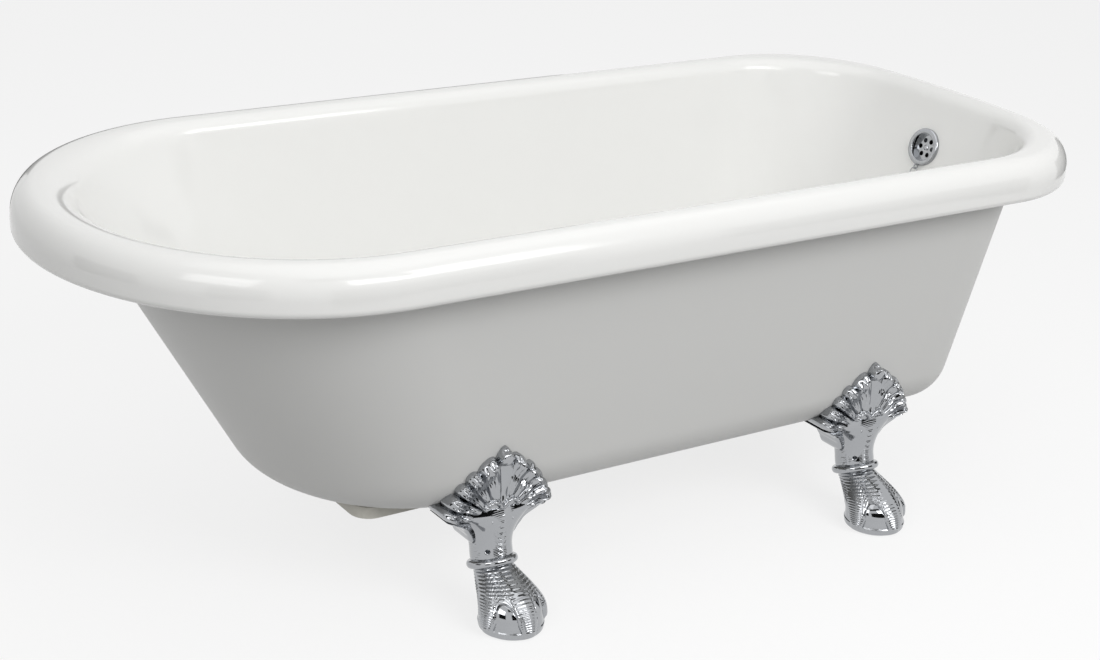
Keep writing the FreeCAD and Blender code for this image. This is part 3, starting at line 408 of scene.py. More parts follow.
# upper half of a circle of radius 1: 1 at 0, 0 at 1 and beyond
def dome(at):
    return np.sqrt(np.clip(1 - at ** 2, 0, 1))


# a grid in millimetres made a piece: a tube with closed ends, or a ring that needs none
def closedGrid(name, grid, finish, ring=False):
    rows, around = grid.shape[:2]
    faces = gridFaces(rows, around, ring)
    if not ring:
        faces += endFaces(rows, around)
    made = meshOf(name, grid * mm, faces, finish)
    made.data.set_sharp_from_angle(angle=creaseAngle)
    return made


# profile of (radius, height) corners turned about Z, in millimetres, then placed by a matrix in metres
def lathe(name, profile, finish, place=Matrix(), sides=96, ring=False):
    r, z = (np.array(v, float)[:, None] for v in zip(*profile))
    turn = np.linspace(0, 2 * math.pi, sides, endpoint=False)[None, :]
    made = closedGrid(name, np.stack([r * np.cos(turn), r * np.sin(turn), z + 0 * turn], -1), finish, ring)
    made.data.transform(place)
    return made


# plain cylinder that reaches as far either way
def holeCutter(radius, reach, finish, place, sides=96):
    profile = [(0, -reach), (radius, -reach), (radius, reach), (0, reach)]
    return lathe("holeCutter", profile, finish, place, sides)


# cuts pieces out of a piece and keeps the result as plain mesh
def bored(piece, cutters):
    for cutter in cutters:
        change = piece.modifiers.new("bore", "BOOLEAN")
        change.operation = "DIFFERENCE"
        change.object = cutter
        change.solver = "EXACT"
    solved = bpy.data.meshes.new_from_object(piece.evaluated_get(bpy.context.evaluated_depsgraph_get()))
    piece.modifiers.clear()
    piece.data = solved
    solved.set_sharp_from_angle(angle=creaseAngle)
    for cutter in cutters:
        bpy.data.objects.remove(cutter)


# one mesh out of several
def joined(name, pieces):
    bm = bmesh.new()
    finishes = []
    for piece in pieces:
        start = len(bm.faces)
        bm.from_mesh(piece.data)
        bm.faces.ensure_lookup_table()
        slots = []
        for finish in piece.data.materials:
            if finish not in finishes:
                finishes.append(finish)
            slots.append(finishes.index(finish))
        for face in bm.faces[start:]:
            face.material_index = slots[min(face.material_index, len(slots) - 1)]
        bpy.data.objects.remove(piece)
    data = bpy.data.meshes.new(name)
    bm.to_mesh(data)
    bm.free()
    for finish in finishes:
        data.materials.append(finish)
    made = bpy.data.objects.new(name, data)
    scene.collection.objects.link(made)
    return made


# holes of the bath, and the axes of the overflow's fittings
fitting = {
    "waste": (560, 0), "wasteHole": 26, "overflowHole": 26, "overflowDrop": 96, "seal": 1.8,
    "cut": 3 * bath["wall"],
}
lean = (bath["tap"][1] - bath["tap"][0]) / bath["depth"]
slant = math.hypot(1, lean)
upWall = Vector((lean, 0, 1)) / slant
intoBath = Vector((-upWall.z, 0, upWall.x))
wallInside = bath["tap"][0] + bath["wall"] * slant + lean * fitting["overflowDrop"]
roseCentre = Vector((bathLength / 2 - wallInside, 0, rimHeight - fitting["overflowDrop"]))
acrossWall = Vector((0, 1, 0))
wallAxes = Matrix((acrossWall, intoBath.cross(acrossWall), intoBath)).transposed()
inWall = Matrix.Translation(roseCentre * mm) @ wallAxes.to_4x4()
sealTop = baseLevel + bath["wall"] + fitting["seal"]
onWaste = Matrix.Translation(Vector((*fitting["waste"], sealTop)) * mm)
bored(bathPiece, [
    holeCutter(fitting["wasteHole"], fitting["cut"], acrylicFinish, onWaste),
    holeCutter(fitting["overflowHole"], fitting["cut"], acrylicFinish, inWall),
])
print("bath bored", len(bathPiece.data.polygons))

# overflow rose: rounded brow, cup, floor with six holes, and a flat eye for the chain
rose = {
    "radius": 33, "high": 6, "brow": 3, "edge": 2, "lip": 1.2, "lipRound": (1.8, 1.6), "cup": 24.5,
    "deep": 7, "floor": 1.8, "hole": 4.2, "holes": 6, "firstHole": 30, "pitch": 13.5, "cut": 20,
    "steps": 7, "middle": 0.01,
}
lugProfile = [(3.0, -0.8), (3.3, -1), (4.7, -1), (5, -0.7), (5, 0.7), (4.7, 1), (3.3, 1), (3.0, 0.8)]
eye, knee = (
    Vector(next(j for j in frame["joints"] if j["name"] == name)["pos_m"])
    for name in ("upper_chain_swing", "lower_chain_swing")
)


# turned profile of brow, lip and cup, less a ring of holes along the wall's own axis
def overflowRose():
    turn = np.linspace(0, math.pi / 2, rose["steps"])
    high, edge = rose["high"], rose["edge"]
    wide, tall = rose["lipRound"]
    brow = [(rose["radius"] - rose["brow"] + rose["brow"] * math.cos(t), edge + (high - edge) * math.sin(t))
            for t in turn]
    lip = [(rose["cup"] + rose["lip"] - wide * math.sin(t), high - tall + tall * math.cos(t)) for t in turn]
    floor = rose["floor"] - rose["deep"]
    bore = rose["cup"] - rose["floor"]
    profile = [(rose["middle"], -rose["deep"]), (rose["cup"], -rose["deep"]), (rose["cup"], 0)]
    profile += [(rose["radius"], 0)] + brow + lip + [(bore, 0), (bore, floor), (rose["middle"], floor)]
    made = lathe("overflowRose", profile, fittingChrome, inWall)
    cutters = []
    for n in range(rose["holes"]):
        t = math.radians(360 / rose["holes"] * n + rose["firstHole"])
        at = Matrix.Translation((rose["pitch"] * math.sin(t) * mm, rose["pitch"] * math.cos(t) * mm, 0))
        cutters.append(holeCutter(rose["hole"], rose["cut"], fittingChrome, inWall @ at, 32))
    bored(made, cutters)
    return made


# a flat eye with rounded edges, its hole along Y
def lug(name, centre):
    place = Matrix.Translation(centre) @ Matrix.Rotation(math.pi / 2, 4, "X")
    return lathe(name, lugProfile, fittingChrome, place, 48, True)


rosePiece = joined("overflowRose", [overflowRose(), lug("roseLug", eye)])
stand(rosePiece, "bath", "overflow_rose")
print("rose made")

# plug chain: ring at the rose, links as far as the knee, links to the plug, ring at the plug
chain = {
    "link": 14, "width": 8, "wire": 1.6, "play": 0.9, "ring": 8, "plugRing": 6, "eyeHole": 3, "eyeRest": 0.4,
    "capAboveEye": 5, "oblong": 2.6,
}
pitch = chain["link"] - 2 * chain["wire"] - chain["play"]
ringSeat = math.sqrt((chain["eyeHole"] - chain["eyeRest"]) ** 2 - (chain["wire"] / 2) ** 2)
ringEnd = ringSeat + 2 * (chain["ring"] - chain["wire"])
plugRingEnd = ringSeat + 2 * (chain["plugRing"] - chain["wire"])
firstLink = ringEnd - chain["play"] + chain["link"] / 2 - chain["wire"]
plugEye = Vector((fitting["waste"][0] * mm, 0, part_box("plug_cap")[1][2] - chain["capAboveEye"] * mm))
upperWay = (knee - eye).normalized()
lowerWay = (plugEye - knee).normalized()
upperCount = round(((knee - eye).length / mm - firstLink) / pitch + 0.5)
lowerCount = round(((plugEye - knee).length / mm + chain["play"] / 2 - plugRingEnd) / pitch)


# loops of round wire: the centre line is a superellipse that is long along X; places are their 4 x 4 matrices
def wireLoop(name, places, length, width, turns=32, sides=8):
    t = np.linspace(0, 2 * math.pi, turns, endpoint=False)
    half, side = (length - chain["wire"]) / 2, (width - chain["wire"]) / 2
    power = 2 / chain["oblong"] if length > width + 1 else 1
    line = np.stack([half * np.sign(np.cos(t)) * abs(np.cos(t)) ** power,
                     side * np.sign(np.sin(t)) * abs(np.sin(t)) ** power, 0 * t], -1)
    along = np.roll(line, -1, 0) - np.roll(line, 1, 0)
    out = np.stack([along[:, 1], -along[:, 0], 0 * t], -1)
    out /= np.linalg.norm(out, axis=1)[:, None]
    q = np.linspace(0, 2 * math.pi, sides, endpoint=False)[None, :, None]
    wire = chain["wire"] / 2
    grid = line[:, None] + wire * (np.cos(q) * out[:, None] + np.sin(q) * np.array((0, 0, 1)))
    rows = np.array([[list(r) for r in m] for m in places])
    points = np.einsum("nij,pj->npi", rows[:, :3, :3], grid.reshape(-1, 3) * mm) + rows[:, None, :3, 3]
    quads = np.array(gridFaces(turns, sides, True))[None, :, [0, 3, 2, 1]]
    quads = quads + (np.arange(len(places)) * turns * sides)[:, None, None]
    return meshOf(name, points, quads.reshape(-1, 4).tolist(), chainChrome)


# length along a direction in the XZ plane, every other link turned flat about it
def laid(middle, way, number):
    turn = Matrix.Rotation(math.atan2(-way.z, way.x), 4, "Y")
    return Matrix.Translation(middle) @ turn @ Matrix.Rotation(math.radians(90 * (number % 2)), 4, "X")


size, width = chain["link"], chain["width"]
topRing, lowRing = 2 * chain["ring"], 2 * chain["plugRing"]
topMiddle = eye + upperWay * (ringEnd - chain["ring"] + chain["wire"]) * mm
lowMiddle = plugEye - lowerWay * (plugRingEnd - chain["plugRing"] + chain["wire"]) * mm
upperPlaces = [laid(eye + upperWay * (firstLink + pitch * n) * mm, upperWay, n + 1)
               for n in range(upperCount)]
lowerPlaces = [laid(knee + lowerWay * pitch * (n + 0.5) * mm, lowerWay, n + upperCount + 1)
               for n in range(lowerCount)]
for name, nodeName, body, length, across, places in (
        ("splitRing", "split_ring", "upper_chain", topRing, topRing, [laid(topMiddle, upperWay, 0)]),
        ("upperLinks", "chain_upper", "upper_chain", size, width, upperPlaces),
        ("lowerLinks", "chain_lower", "lower_chain", size, width, lowerPlaces),
        ("plugRing", "plug_ring", "lower_chain", lowRing, lowRing,
         [laid(lowMiddle, lowerWay, upperCount + lowerCount + 1)])):
    stand(wireLoop(name, places, length, across), body, nodeName)
print("chain of", upperCount, "and", lowerCount, "links")


# corners on a circle about (r, z) between two angles in degrees
def arcOf(r, z, radius, first, last, steps=8):
    turn = np.radians(np.linspace(first, last, steps))
    return list(zip(r + radius * np.cos(turn), z + radius * np.sin(turn)))


# a turned piece in place of a flat-sided solid, with what is cut from it and what is joined on
def fitted(name, nodeName, profile, finish, body, place, extra=(), cutters=()):
    made = lathe(name, profile, finish, place)
    if cutters:
        bored(made, cutters)
    if extra:
        made = joined(name, [made, *extra])
    stand(made, body, nodeName)


# waste: flange with rounded brow and conical seat, grid of two bars, slotted tail with a thread at its end
waste = {
    "tail": 23.9, "bore": 20, "length": 84, "flange": 36, "brow": 2.8, "seat": 22.4, "seatDeep": 12,
    "thread": 2.2, "threadDeep": 0.45, "threadSteps": 8, "threadCorners": 73, "groove": 1, "grooveLow": -63.5,
    "slotHalf": 4.5, "slotReach": 30, "slotLow": 33.8, "slotHigh": 15,
    "bar": 3.2, "barSteps": (12, 24), "barRound": 0.7,
}


# a bar of the grid: its section is as wide as the bar and has a rounded back
def crossBar(turn):
    half, reach = waste["bar"] / 2, waste["bore"] + 0.6
    about = np.radians(np.linspace(0, 360, waste["barSteps"][1], endpoint=False))[None, :]
    along = np.linspace(-reach, reach, waste["barSteps"][0])[:, None]
    back = 2 * half * np.sign(np.sin(about)) * abs(np.sin(about)) ** waste["barRound"]
    grid = np.stack([along + 0 * about, half * np.cos(about) + 0 * along, back + 0 * along], -1)
    made = closedGrid("bar", grid, fittingChrome)
    low = Matrix.Translation((0, 0, -(waste["seatDeep"] + 3 * waste["bar"]) * mm))
    made.data.transform(onWaste @ low @ Matrix.Rotation(turn, 4, "Z"))
    return made


# plain box across the tail
def slotCutter(turn):
    reach, half = waste["slotReach"], waste["slotHalf"]
    plan = [(-reach, -half), (reach, -half), (reach, half), (-reach, half)]
    grid = np.array([[(x, y, z) for x, y in plan] for z in (0, waste["slotHigh"])], float)
    made = closedGrid("slotCutter", grid, fittingChrome)
    low = Matrix.Translation((0, 0, -waste["slotLow"] * mm))
    made.data.transform(onWaste @ low @ Matrix.Rotation(turn, 4, "Z"))
    return made


tail, flange, seat, steps = waste["tail"], waste["flange"], waste["seat"], waste["threadSteps"]
grooved, grooveLow = tail - waste["groove"], waste["grooveLow"]
flangeProfile = [(waste["bore"], -waste["length"])]
flangeProfile += [(tail - waste["threadDeep"] * (1 - math.cos(2 * math.pi * n / steps)),
                   -waste["length"] + n * waste["thread"] / steps) for n in range(waste["threadCorners"])]
flangeProfile += [(grooved, grooveLow), (grooved, grooveLow + 0.5), (tail, grooveLow + 1), (tail, 0)]
flangeProfile += [(flange - 0.6, 0)] + arcOf(flange - 3, 0.2, waste["brow"], 0, 90) + [(seat + 2.2, 2.6)]
flangeProfile += [(seat + 0.4, 1.8), (seat, 1), (waste["bore"], -waste["seatDeep"])]
crossed = (0, math.pi / 2)
fitted("wasteFlange", "waste_flange", flangeProfile, fittingChrome, "bath", onWaste,
       [crossBar(turn) for turn in crossed], [slotCutter(turn) for turn in crossed])

# plug: tapered rubber with a round lip, and a thin domed cap with an eye; lift is its zero over the seal
plug = {
    "lift": 3.3, "deep": 10, "taper": (18.4, 21.6, 22.6), "lip": 23.6, "lipRound": 0.9,
    "cap": 20.6, "dome": 4,
}
plugFace = Matrix.Translation(Vector((*fitting["waste"], sealTop + plug["lift"])) * mm)
taper = plug["taper"]
rubberProfile = [(0, -plug["deep"])] + arcOf(taper[0], 1 - plug["deep"], 1, -90, 0, 5)
rubberProfile += [(taper[1], -1.5), (taper[2], -0.4)]
rubberProfile += arcOf(plug["lip"], 1, plug["lipRound"], -90, 90) + [(0, 2)]
fitted("plugRubber", "plug_rubber", rubberProfile, rubberFinish, "plug", plugFace)
domeProfile = [(0, 2), (plug["cap"], 2)] + arcOf(plug["cap"] - 0.6, 2.8, 0.8, -40, 60, 6)
domeProfile += [(17, 3.75), (10, 3.95), (0, plug["dome"])]
fitted("plugCap", "plug_cap", domeProfile, fittingChrome, "plug", plugFace,
       [lug("plugLug", plugEye)])


# round tube carried along a line in the XZ plane, in millimetres
def tubePiece(name, line, radius, finish, around=40):
    line = np.array(line, float)
    way = np.gradient(line, axis=0)
    way /= np.linalg.norm(way, axis=1)[:, None]
    q = np.linspace(0, 2 * math.pi, around, endpoint=False)[None, :]
    x = line[:, :1] + radius * np.cos(q) * way[:, 1:]
    y = radius * np.sin(q) + 0 * x
    z = line[:, 1:] - radius * np.cos(q) * way[:, :1]
    return closedGrid(name, np.stack([x, y, z], -1), finish)


# overflow pipe: down from the chamber, a quarter bend, then level to the banjo
pipe = {"radius": 11, "bend": 45, "steps": (12, 24, 8)}
pipeLow, pipeHigh = (Vector(c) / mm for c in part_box("overflow_pipe"))
pipeX, pipeZ = pipeHigh.x - pipe["radius"], pipeLow.z + pipe["radius"]
straight, bent, level = pipe["steps"]
pipeLine = [(pipeX, z) for z in np.linspace(pipeHigh.z, pipeZ + pipe["bend"] + 1, straight)]
pipeLine += [(pipeX - pipe["bend"] * (1 - math.cos(t)), pipeZ + pipe["bend"] * (1 - math.sin(t)))
             for t in np.radians(np.linspace(0, 90, bent))]
pipeLine += [(x, pipeZ) for x in np.linspace(pipeX - pipe["bend"] - 1, pipeLow.x, level)]
pipePiece = tubePiece("overflowPipe", pipeLine, pipe["radius"], fittingChrome)
stand(pipePiece, "bath", "overflow_pipe")
print("fittings made")

# claw-and-ball foot, in millimetres and degrees, its front at turn 0; ramps are given as (from, to) heights
foot = {
    "collarOut": 253, "collar": 79, "collarRadius": 38, "tube": 6, "tubeFat": 0.12, "lean": 22,
    "collarSteps": (160, 24), "legSteps": (150, 110), "around": 300, "split": 72, "top": 172,
    # height up the leg: out from the collar's centre, half depth, half width, lean of the oval
    "heights": (0, 2.5, 8, 20, 34, 46, 56, 64, 73, 86, 104, 122, 138, 152, 163, 172),
    "outs": (57, 57, 57, 55.5, 51.5, 42, 30, 17, 2.4, -2.4, -7, -9, -10.5, -12.5, -15, -18),
    "deeps": (43, 45.2, 46.6, 46, 43.5, 39.5, 35, 31, 29, 31.3, 31, 31.6, 33.5, 36, 37.5, 38),
    "wides": (43, 45.4, 47, 47, 45, 41, 36.5, 32, 29, 31.3, 31.6, 35, 44, 60, 77, 74),
    "leans": (0, 0, 0, 1, 4, 8, 13, 18, 22, 22, 14, 6, 2, 0, 0, 0),
    "toes": (0, -78, 78), "toeHalf": 15.5, "toeHigh": 8, "toeSlim": (8, 26), "toeRound": 0.8,
    "toeHeights": (0, 5, 14, 30, 46, 62, 75), "toeShares": (0.25, 0.55, 0.92, 1, 0.72, 0.2, 0),
    "rib": 3.0, "ribHigh": 0.55, "ribBow": 2.2, "ribStart": (9, 18),
    "windows": (-39, 39, -118, 118), "windowTop": 46, "windowBow": 0.055, "windowHalf": 19,
    "windowEdge": (-0.8, 1.6), "skin": 2.3, "skinRib": 3.1, "skinRibHigh": 0.5, "skinRibEnd": (18, 30),
    "skinStart": (22, 40), "skinEnd": (76, 60), "skinUnderToe": 0.55,
    "ankleRib": 2.9, "ankleStart": (46, 54), "ankleEnd": (74, 70),
    "band": 1.4, "bandTop": (13, 11), "bandFoot": (0, 3), "bandSmooth": (14, 10),
    "holeTurn": -40, "holeHigh": 98, "holeRadius": 3.2, "holeEdge": 0.8, "holeDeep": 9,
    "wallGap": 0.5, "wallStart": 0.4, "sharpAngle": 60,
}


# how far out the bath's outside lies from its centre plane, at a place along it and a height
def bathOut(x, z):
    drop = np.clip(rimHeight - z, 60, bath["depth"] - 0.5)
    side, head = bowlInset("side", drop, 0)[0], bowlInset("head", drop, 0)[0]
    half = bathWidth / 2 - side
    headX = half + head - bathLength / 2
    return np.where(x < headX, np.sqrt(np.maximum(0, half ** 2 - (x - headX) ** 2)), half)


# leg from the floor to the wings: leaning ovals pushed out by toes, by wrinkled skin that leaves four smooth
# windows on the ball, and by a band round the base; a small hole is sunk in the neck
def legGrid():
    low, upper = foot["legSteps"]
    split, top = foot["split"], foot["top"]
    high = np.concatenate([np.linspace(0, split, low), np.linspace(split + 0.5, top, upper)])[:, None]
    turn = np.linspace(0, 2 * math.pi, foot["around"], endpoint=False)[None, :]
    away = (turn + math.pi) % (2 * math.pi) - math.pi
    ovals = (through(foot["heights"], foot[k], high) for k in ("outs", "deeps", "wides", "leans"))
    middle, deep, wide, leans = ovals
    leans = np.radians(leans)
    reach = deep * np.cos(turn)
    x, out, z = wide * np.sin(turn), middle + reach * np.cos(leans), high + reach * np.sin(leans)
    girth = 0.5 * (deep + wide)
    push = 0 * x
    for centre in foot["toes"]:
        width = foot["toeHalf"] * (0.72 + 0.28 * ramp(*foot["toeSlim"], high))
        across = (away - math.radians(centre)) * girth / width
        body = dome(across)
        rise = foot["toeHigh"] * through(foot["toeHeights"], foot["toeShares"], high)
        wrinkle = np.cos(2 * math.pi * (high + foot["ribBow"] * across ** 2) / foot["rib"])
        wrinkle = foot["ribHigh"] * wrinkle * ramp(*foot["ribStart"], high)
        push = np.maximum(push, body ** foot["toeRound"] * (rise + wrinkle * body))
    skin = 0 * x
    for centre in foot["windows"]:
        side = abs(away - math.radians(centre)) * girth
        over = high - (foot["windowTop"] - foot["windowBow"] * side ** 2)
        fine = foot["skinRibHigh"] * np.cos(2 * math.pi * over / foot["skinRib"])
        fine = fine * ramp(0, 3, over) * (1 - 0.5 * ramp(*foot["skinRibEnd"], over))
        skinned = ramp(*foot["windowEdge"], over) * (foot["skin"] + fine)
        skin = np.where(side < foot["windowHalf"], skinned, skin)
    skin = np.where(skin == 0, foot["skin"] * ramp(*foot["skinStart"], high), skin)
    ankle = foot["skinRibHigh"] * np.cos(2 * math.pi * high / foot["ankleRib"])
    ankle = ankle * ramp(*foot["ankleStart"], high) * ramp(*foot["ankleEnd"], high)
    skin = skin * ramp(*foot["skinEnd"], high) + ankle
    push = push + skin * (1 - foot["skinUnderToe"] * np.clip(push / foot["toeHigh"], 0, 1))
    band = foot["band"] * ramp(*foot["bandTop"], high) * ramp(*foot["bandFoot"], high)
    push = push * (1 - 0.75 * ramp(*foot["bandSmooth"], high)) + band
    spot = np.hypot((away - math.radians(foot["holeTurn"])) * girth, high - foot["holeHigh"])
    hole, edge = foot["holeRadius"], foot["holeEdge"]
    push = push - foot["holeDeep"] * ramp(hole + edge, hole - edge, spot)
    swell = 1 + push / np.hypot(x, out - middle)
    return np.stack([x * swell, -foot["collarOut"] - middle - (out - middle) * swell, z], -1)


# leaning ring round the ankle: a circle of tube carried round the collar's circle
def collarGrid():
    turn, tube = (np.linspace(0, 2 * math.pi, n, endpoint=False) for n in foot["collarSteps"])
    turn, tube = turn[:, None], tube[None, :]
    reach = foot["collarRadius"] - foot["tube"] + foot["tube"] * np.cos(tube)
    rise = foot["tube"] * np.sin(tube) * (1 + foot["tubeFat"] * np.cos(tube))
    tilt = math.radians(foot["lean"])
    x, ahead = reach * np.sin(turn), reach * np.cos(turn)
    out = ahead * math.cos(tilt) - rise * math.sin(tilt)
    z = foot["collar"] + ahead * math.sin(tilt) + rise * math.cos(tilt)
    return np.stack([x, -foot["collarOut"] - out, z], -1)


# fan of leaves over the foot: heights are over the bath's wall, share is 0 at its heart and 1 at its outline
fan = {
    "heart": 150, "innerShares": (0.004, 0.8, 84), "outerShares": (0.805, 1, 52), "around": 420,
    "backEvery": 6,
    "tips": (0, 18, 33, 47, 61.5, 77), "tipReach": (119, 102, 97, 93, 92, 94),
    "edges": (7.8, 25.5, 40, 54, 69.5, 84),
    "lowerTurns": (84.5, 94, 114, 136, 158, 180), "lowerReach": (82, 61, 49.5, 51, 50, 49),
    "notch": 7.5, "knobNotch": 9, "notchPower": 2.6,
    "dish": (24, 13.5, 0.8), "leafShare": (0.3, 0.62), "leafHigh": (8.5, 5.2),
    "fingerHigh": 2.3, "fingerStart": (0.5, 0.72), "fingerEnd": (1.0, 0.93),
    "curl": (6.0, 0.87, 0.075), "dip": (2.6, 0.7, 0.06),
    "petal": (4, 0.115, 170), "petalDeep": 4.5, "petalEnds": ((176, 196), (243, 236)),
    "brimHigh": 3.2, "brimWide": 2.2, "brimEnds": ((180, 196), (246, 238)),
    "knob": (251, 12.2, 9), "knobSink": (5, 236, 242), "spike": (5.5, 262, 7, 4),
    # scrolls: middle's side and height, radius, 1 for the upper half or -1 for the lower, how proud
    "scrolls": ((15, 171, 12.5, 1, 5.5), (27, 158, 10, -1, 3.8), (9, 155, 8, -1, 4.2)), "scrollWire": 3.4,
    "drop": (19, 7.5, 137, 12, 3.6), "dropGroove": (1.2, 1.1, 0.12),
    "rimStart": 0.9, "knobRimStart": 0.955, "rimLow": 0.28,
    "backOver": 3, "backLeast": 206, "leastThick": 1.2,
}


# bell curve: 1 at middle, falling off over wide
def bell(at, middle, wide):
    return np.exp(-((at - middle) / wide) ** 2)


# polar grid about the heart: leaf tips scallop its outline, and dish, leaves, petal, bow and drops add height
def palmetteGrid():
    share = np.concatenate([np.linspace(*fan["innerShares"]), np.linspace(*fan["outerShares"])])[:, None]
    turn = np.linspace(-math.pi, math.pi, fan["around"], endpoint=False)[None, :]
    away = abs(turn)
    edges = np.radians(fan["edges"])
    leaf = np.clip(np.searchsorted(edges, away), 0, len(edges) - 1)
    knobLeaf = leaf == 0
    onLeaf = away < edges[-1]
    low = np.concatenate([[-edges[0]], edges[:-1]])[leaf]
    w = (away - (low + edges[leaf]) / 2) / ((edges[leaf] - low) / 2)
    w = np.where(away > edges[-1], 1.0, w)
    outline = through(np.radians(fan["tips"] + fan["lowerTurns"]), fan["tipReach"] + fan["lowerReach"], away)
    notch = np.where(onLeaf, 1, 0) * (fan["notch"] + fan["knobNotch"] * knobLeaf)
    reach = share * (outline - notch * abs(w) ** fan["notchPower"])
    x, z = reach * np.sin(turn), fan["heart"] + reach * np.cos(turn)
    thick, thinner, power = fan["dish"]
    rise = thick - thinner * share ** power
    # leaves are lobes between their edges, with three fingers, a curled tip and a dip before it
    leafy = np.where(onLeaf, 1, 0) * ramp(*fan["leafShare"], share)
    lobe = dome(w)
    rise = rise + np.where(knobLeaf, 0, leafy * (fan["leafHigh"][0] * lobe - fan["leafHigh"][1]))
    finger = np.cos(3 * math.pi * w) * (1 - abs(w) ** 3)
    fingers = fan["fingerHigh"] * finger * ramp(*fan["fingerStart"], share) * ramp(*fan["fingerEnd"], share)
    rise = rise + np.where(knobLeaf, 0, fingers) * leafy
    curl, dip = (fan[k][0] * bell(share, *fan[k][1:]) * lobe for k in ("curl", "dip"))
    rise = rise + np.where(knobLeaf, 0, curl - dip) * leafy
    # long concave petal in the middle, a knob with a pointed tip over it
    half, wider, start = fan["petal"]
    edge = half + wider * (z - start)
    rows, top = fan["petalEnds"]
    petal = np.clip(1 - (x / edge) ** 2, 0, 1) * ramp(*rows, z) * ramp(*top, z)
    rows, top = fan["brimEnds"]
    brim = bell(abs(x), edge, fan["brimWide"]) * ramp(*rows, z) * ramp(*top, z)
    rise = rise - fan["petalDeep"] * petal + fan["brimHigh"] * brim
    knobAt, radius, base = fan["knob"]
    sink, sinkLow, sinkHigh = fan["knobSink"]
    far = np.hypot(x, z - knobAt)
    ball = base + np.sqrt(np.clip(radius ** 2 - far ** 2, 0, None)) * (far < radius)
    sunk = rise - sink * ramp(sinkLow, sinkHigh, z) * knobLeaf
    rise = np.where(z > sinkLow, np.maximum(sunk, ball), rise)
    wide, spikeAt, tall, proud = fan["spike"]
    rise = rise + proud * np.clip(1 - np.hypot(x / wide, (z - spikeAt) / tall), 0, 1)
    # bow of two scrolls, smaller ones under it, and a pair of hanging drops
    for side, high, radius, half, proud in fan["scrolls"]:
        off = np.hypot(abs(x) - side, z - high) - radius
        rise = rise + proud * dome(off / fan["scrollWire"]) * ramp(-4, 4, half * (z - high))
    side, wide, high, tall, proud = fan["drop"]
    drop = np.hypot((abs(x) - side) / wide, (z - high) / tall)
    groove, *ring = fan["dropGroove"]
    rise = rise + proud * dome(drop) - groove * bell(drop, *ring)
    # rounded off towards the outline
    start = np.where(knobLeaf, fan["knobRimStart"], fan["rimStart"])
    rim = dome(np.clip((share - start) / (1 - start), 0, 1))
    rise = rise * (fan["rimLow"] + (1 - fan["rimLow"]) * rim)
    crest, base = bath["side"]
    return x, bathWidth / 2 - base + (base - crest) / bath["depth"] * (z - baseLevel) + rise, z


# leg, collar and fan in one, held off the bath's outside by a gap; the fan's back is that surface again
def oneFoot(label, middle, mirrored):
    leg = legGrid()
    leg[..., 0] += middle
    offWall = bathOut(leg[..., 0], leg[..., 2]) + foot["wallGap"]
    limit = np.where(leg[..., 2] > baseLevel + foot["wallStart"], offWall, 0)
    leg[..., 1] = -np.maximum(-leg[..., 1], limit)
    x, face, z = palmetteGrid()
    x = x + middle
    back = bathOut(x, np.maximum(z, baseLevel + fan["backOver"])) + foot["wallGap"]
    back = np.maximum(back, fan["backLeast"])
    face = np.maximum(face, back + fan["leastThick"])
    front = np.stack([x, -face, z], -1)
    behind = np.stack([x, -back, z], -1)[::-1][::fan["backEvery"]]
    made = joined(label, [
        closedGrid("leg", leg, footChrome),
        closedGrid("collar", collarGrid() + (middle, 0, 0), footChrome, True),
        closedGrid("fan", np.concatenate([front, behind]), footChrome),
    ])
    if mirrored:
        made.data.transform(Matrix.Scale(-1, 4, (0, 1, 0)))
        made.data.flip_normals()
    made.data.validate()
    bm = bmesh.new()
    bm.from_mesh(made.data)
    bmesh.ops.recalc_face_normals(bm, faces=bm.faces)
    bm.to_mesh(made.data)
    bm.free()
    made.data.shade_smooth()
    made.data.set_sharp_from_angle(angle=math.radians(foot["sharpAngle"]))
    return made


# the solid that each foot stands in for, and whether it is the mirror image on the far side
feet = {
    "clawHeadNear": ("foot_head_near", False), "clawTapNear": ("foot_tap_near", False),
    "clawHeadFar": ("foot_head_far", True), "clawTapFar": ("foot_tap_far", True),
}
for label, (nodeName, mirrored) in feet.items():
    low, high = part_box(nodeName)
    made = oneFoot(label, (low[0] + high[0]) / 2 / mm, mirrored)
    stand(made, "bath", nodeName)
print("feet made", len(made.data.polygons))

# studio: sizes and places in metres, lamps in watts; shade is the share of lit paper in the white floor seen
studio = {
    "floor": 16, "paper": "b4b4b4", "shade": 0.22, "world": 0.4, "card": "101010", "cardAim": 0.6,
    # lamps: place, aim, size, power
    "lamps": {
        "overheadSoftbox": ((0.1, -0.2, 2.6), (0, 0, 0.3), (3.2, 2.2), 13),
        "leftSoftbox": ((-2.6, -1.6, 2.1), (0, 0, 0.4), (1.4, 1.2), 16),
        "frontSoftbox": ((0.7, -3.2, 2.6), (0, 0, 0.3), (2.6, 1.4), 60),
    },
    # black cards: place, size
    "cards": (
        ((-0.1, -1.5, 0.45), (1.3, 0.7)), ((1.5, -1.6, 0.5), (0.8, 0.8)), ((-1.7, -1.3, 0.5), (0.7, 0.8)),
        ((-2.3, 0.2, 0.5), (1.0, 0.7)), ((2.2, 0.1, 0.5), (1.0, 0.7)), ((0.2, 1.5, 0.45), (1.5, 0.7)),
        ((-0.3, -1.6, 1.75), (1.5, 0.35)),
    ),
}


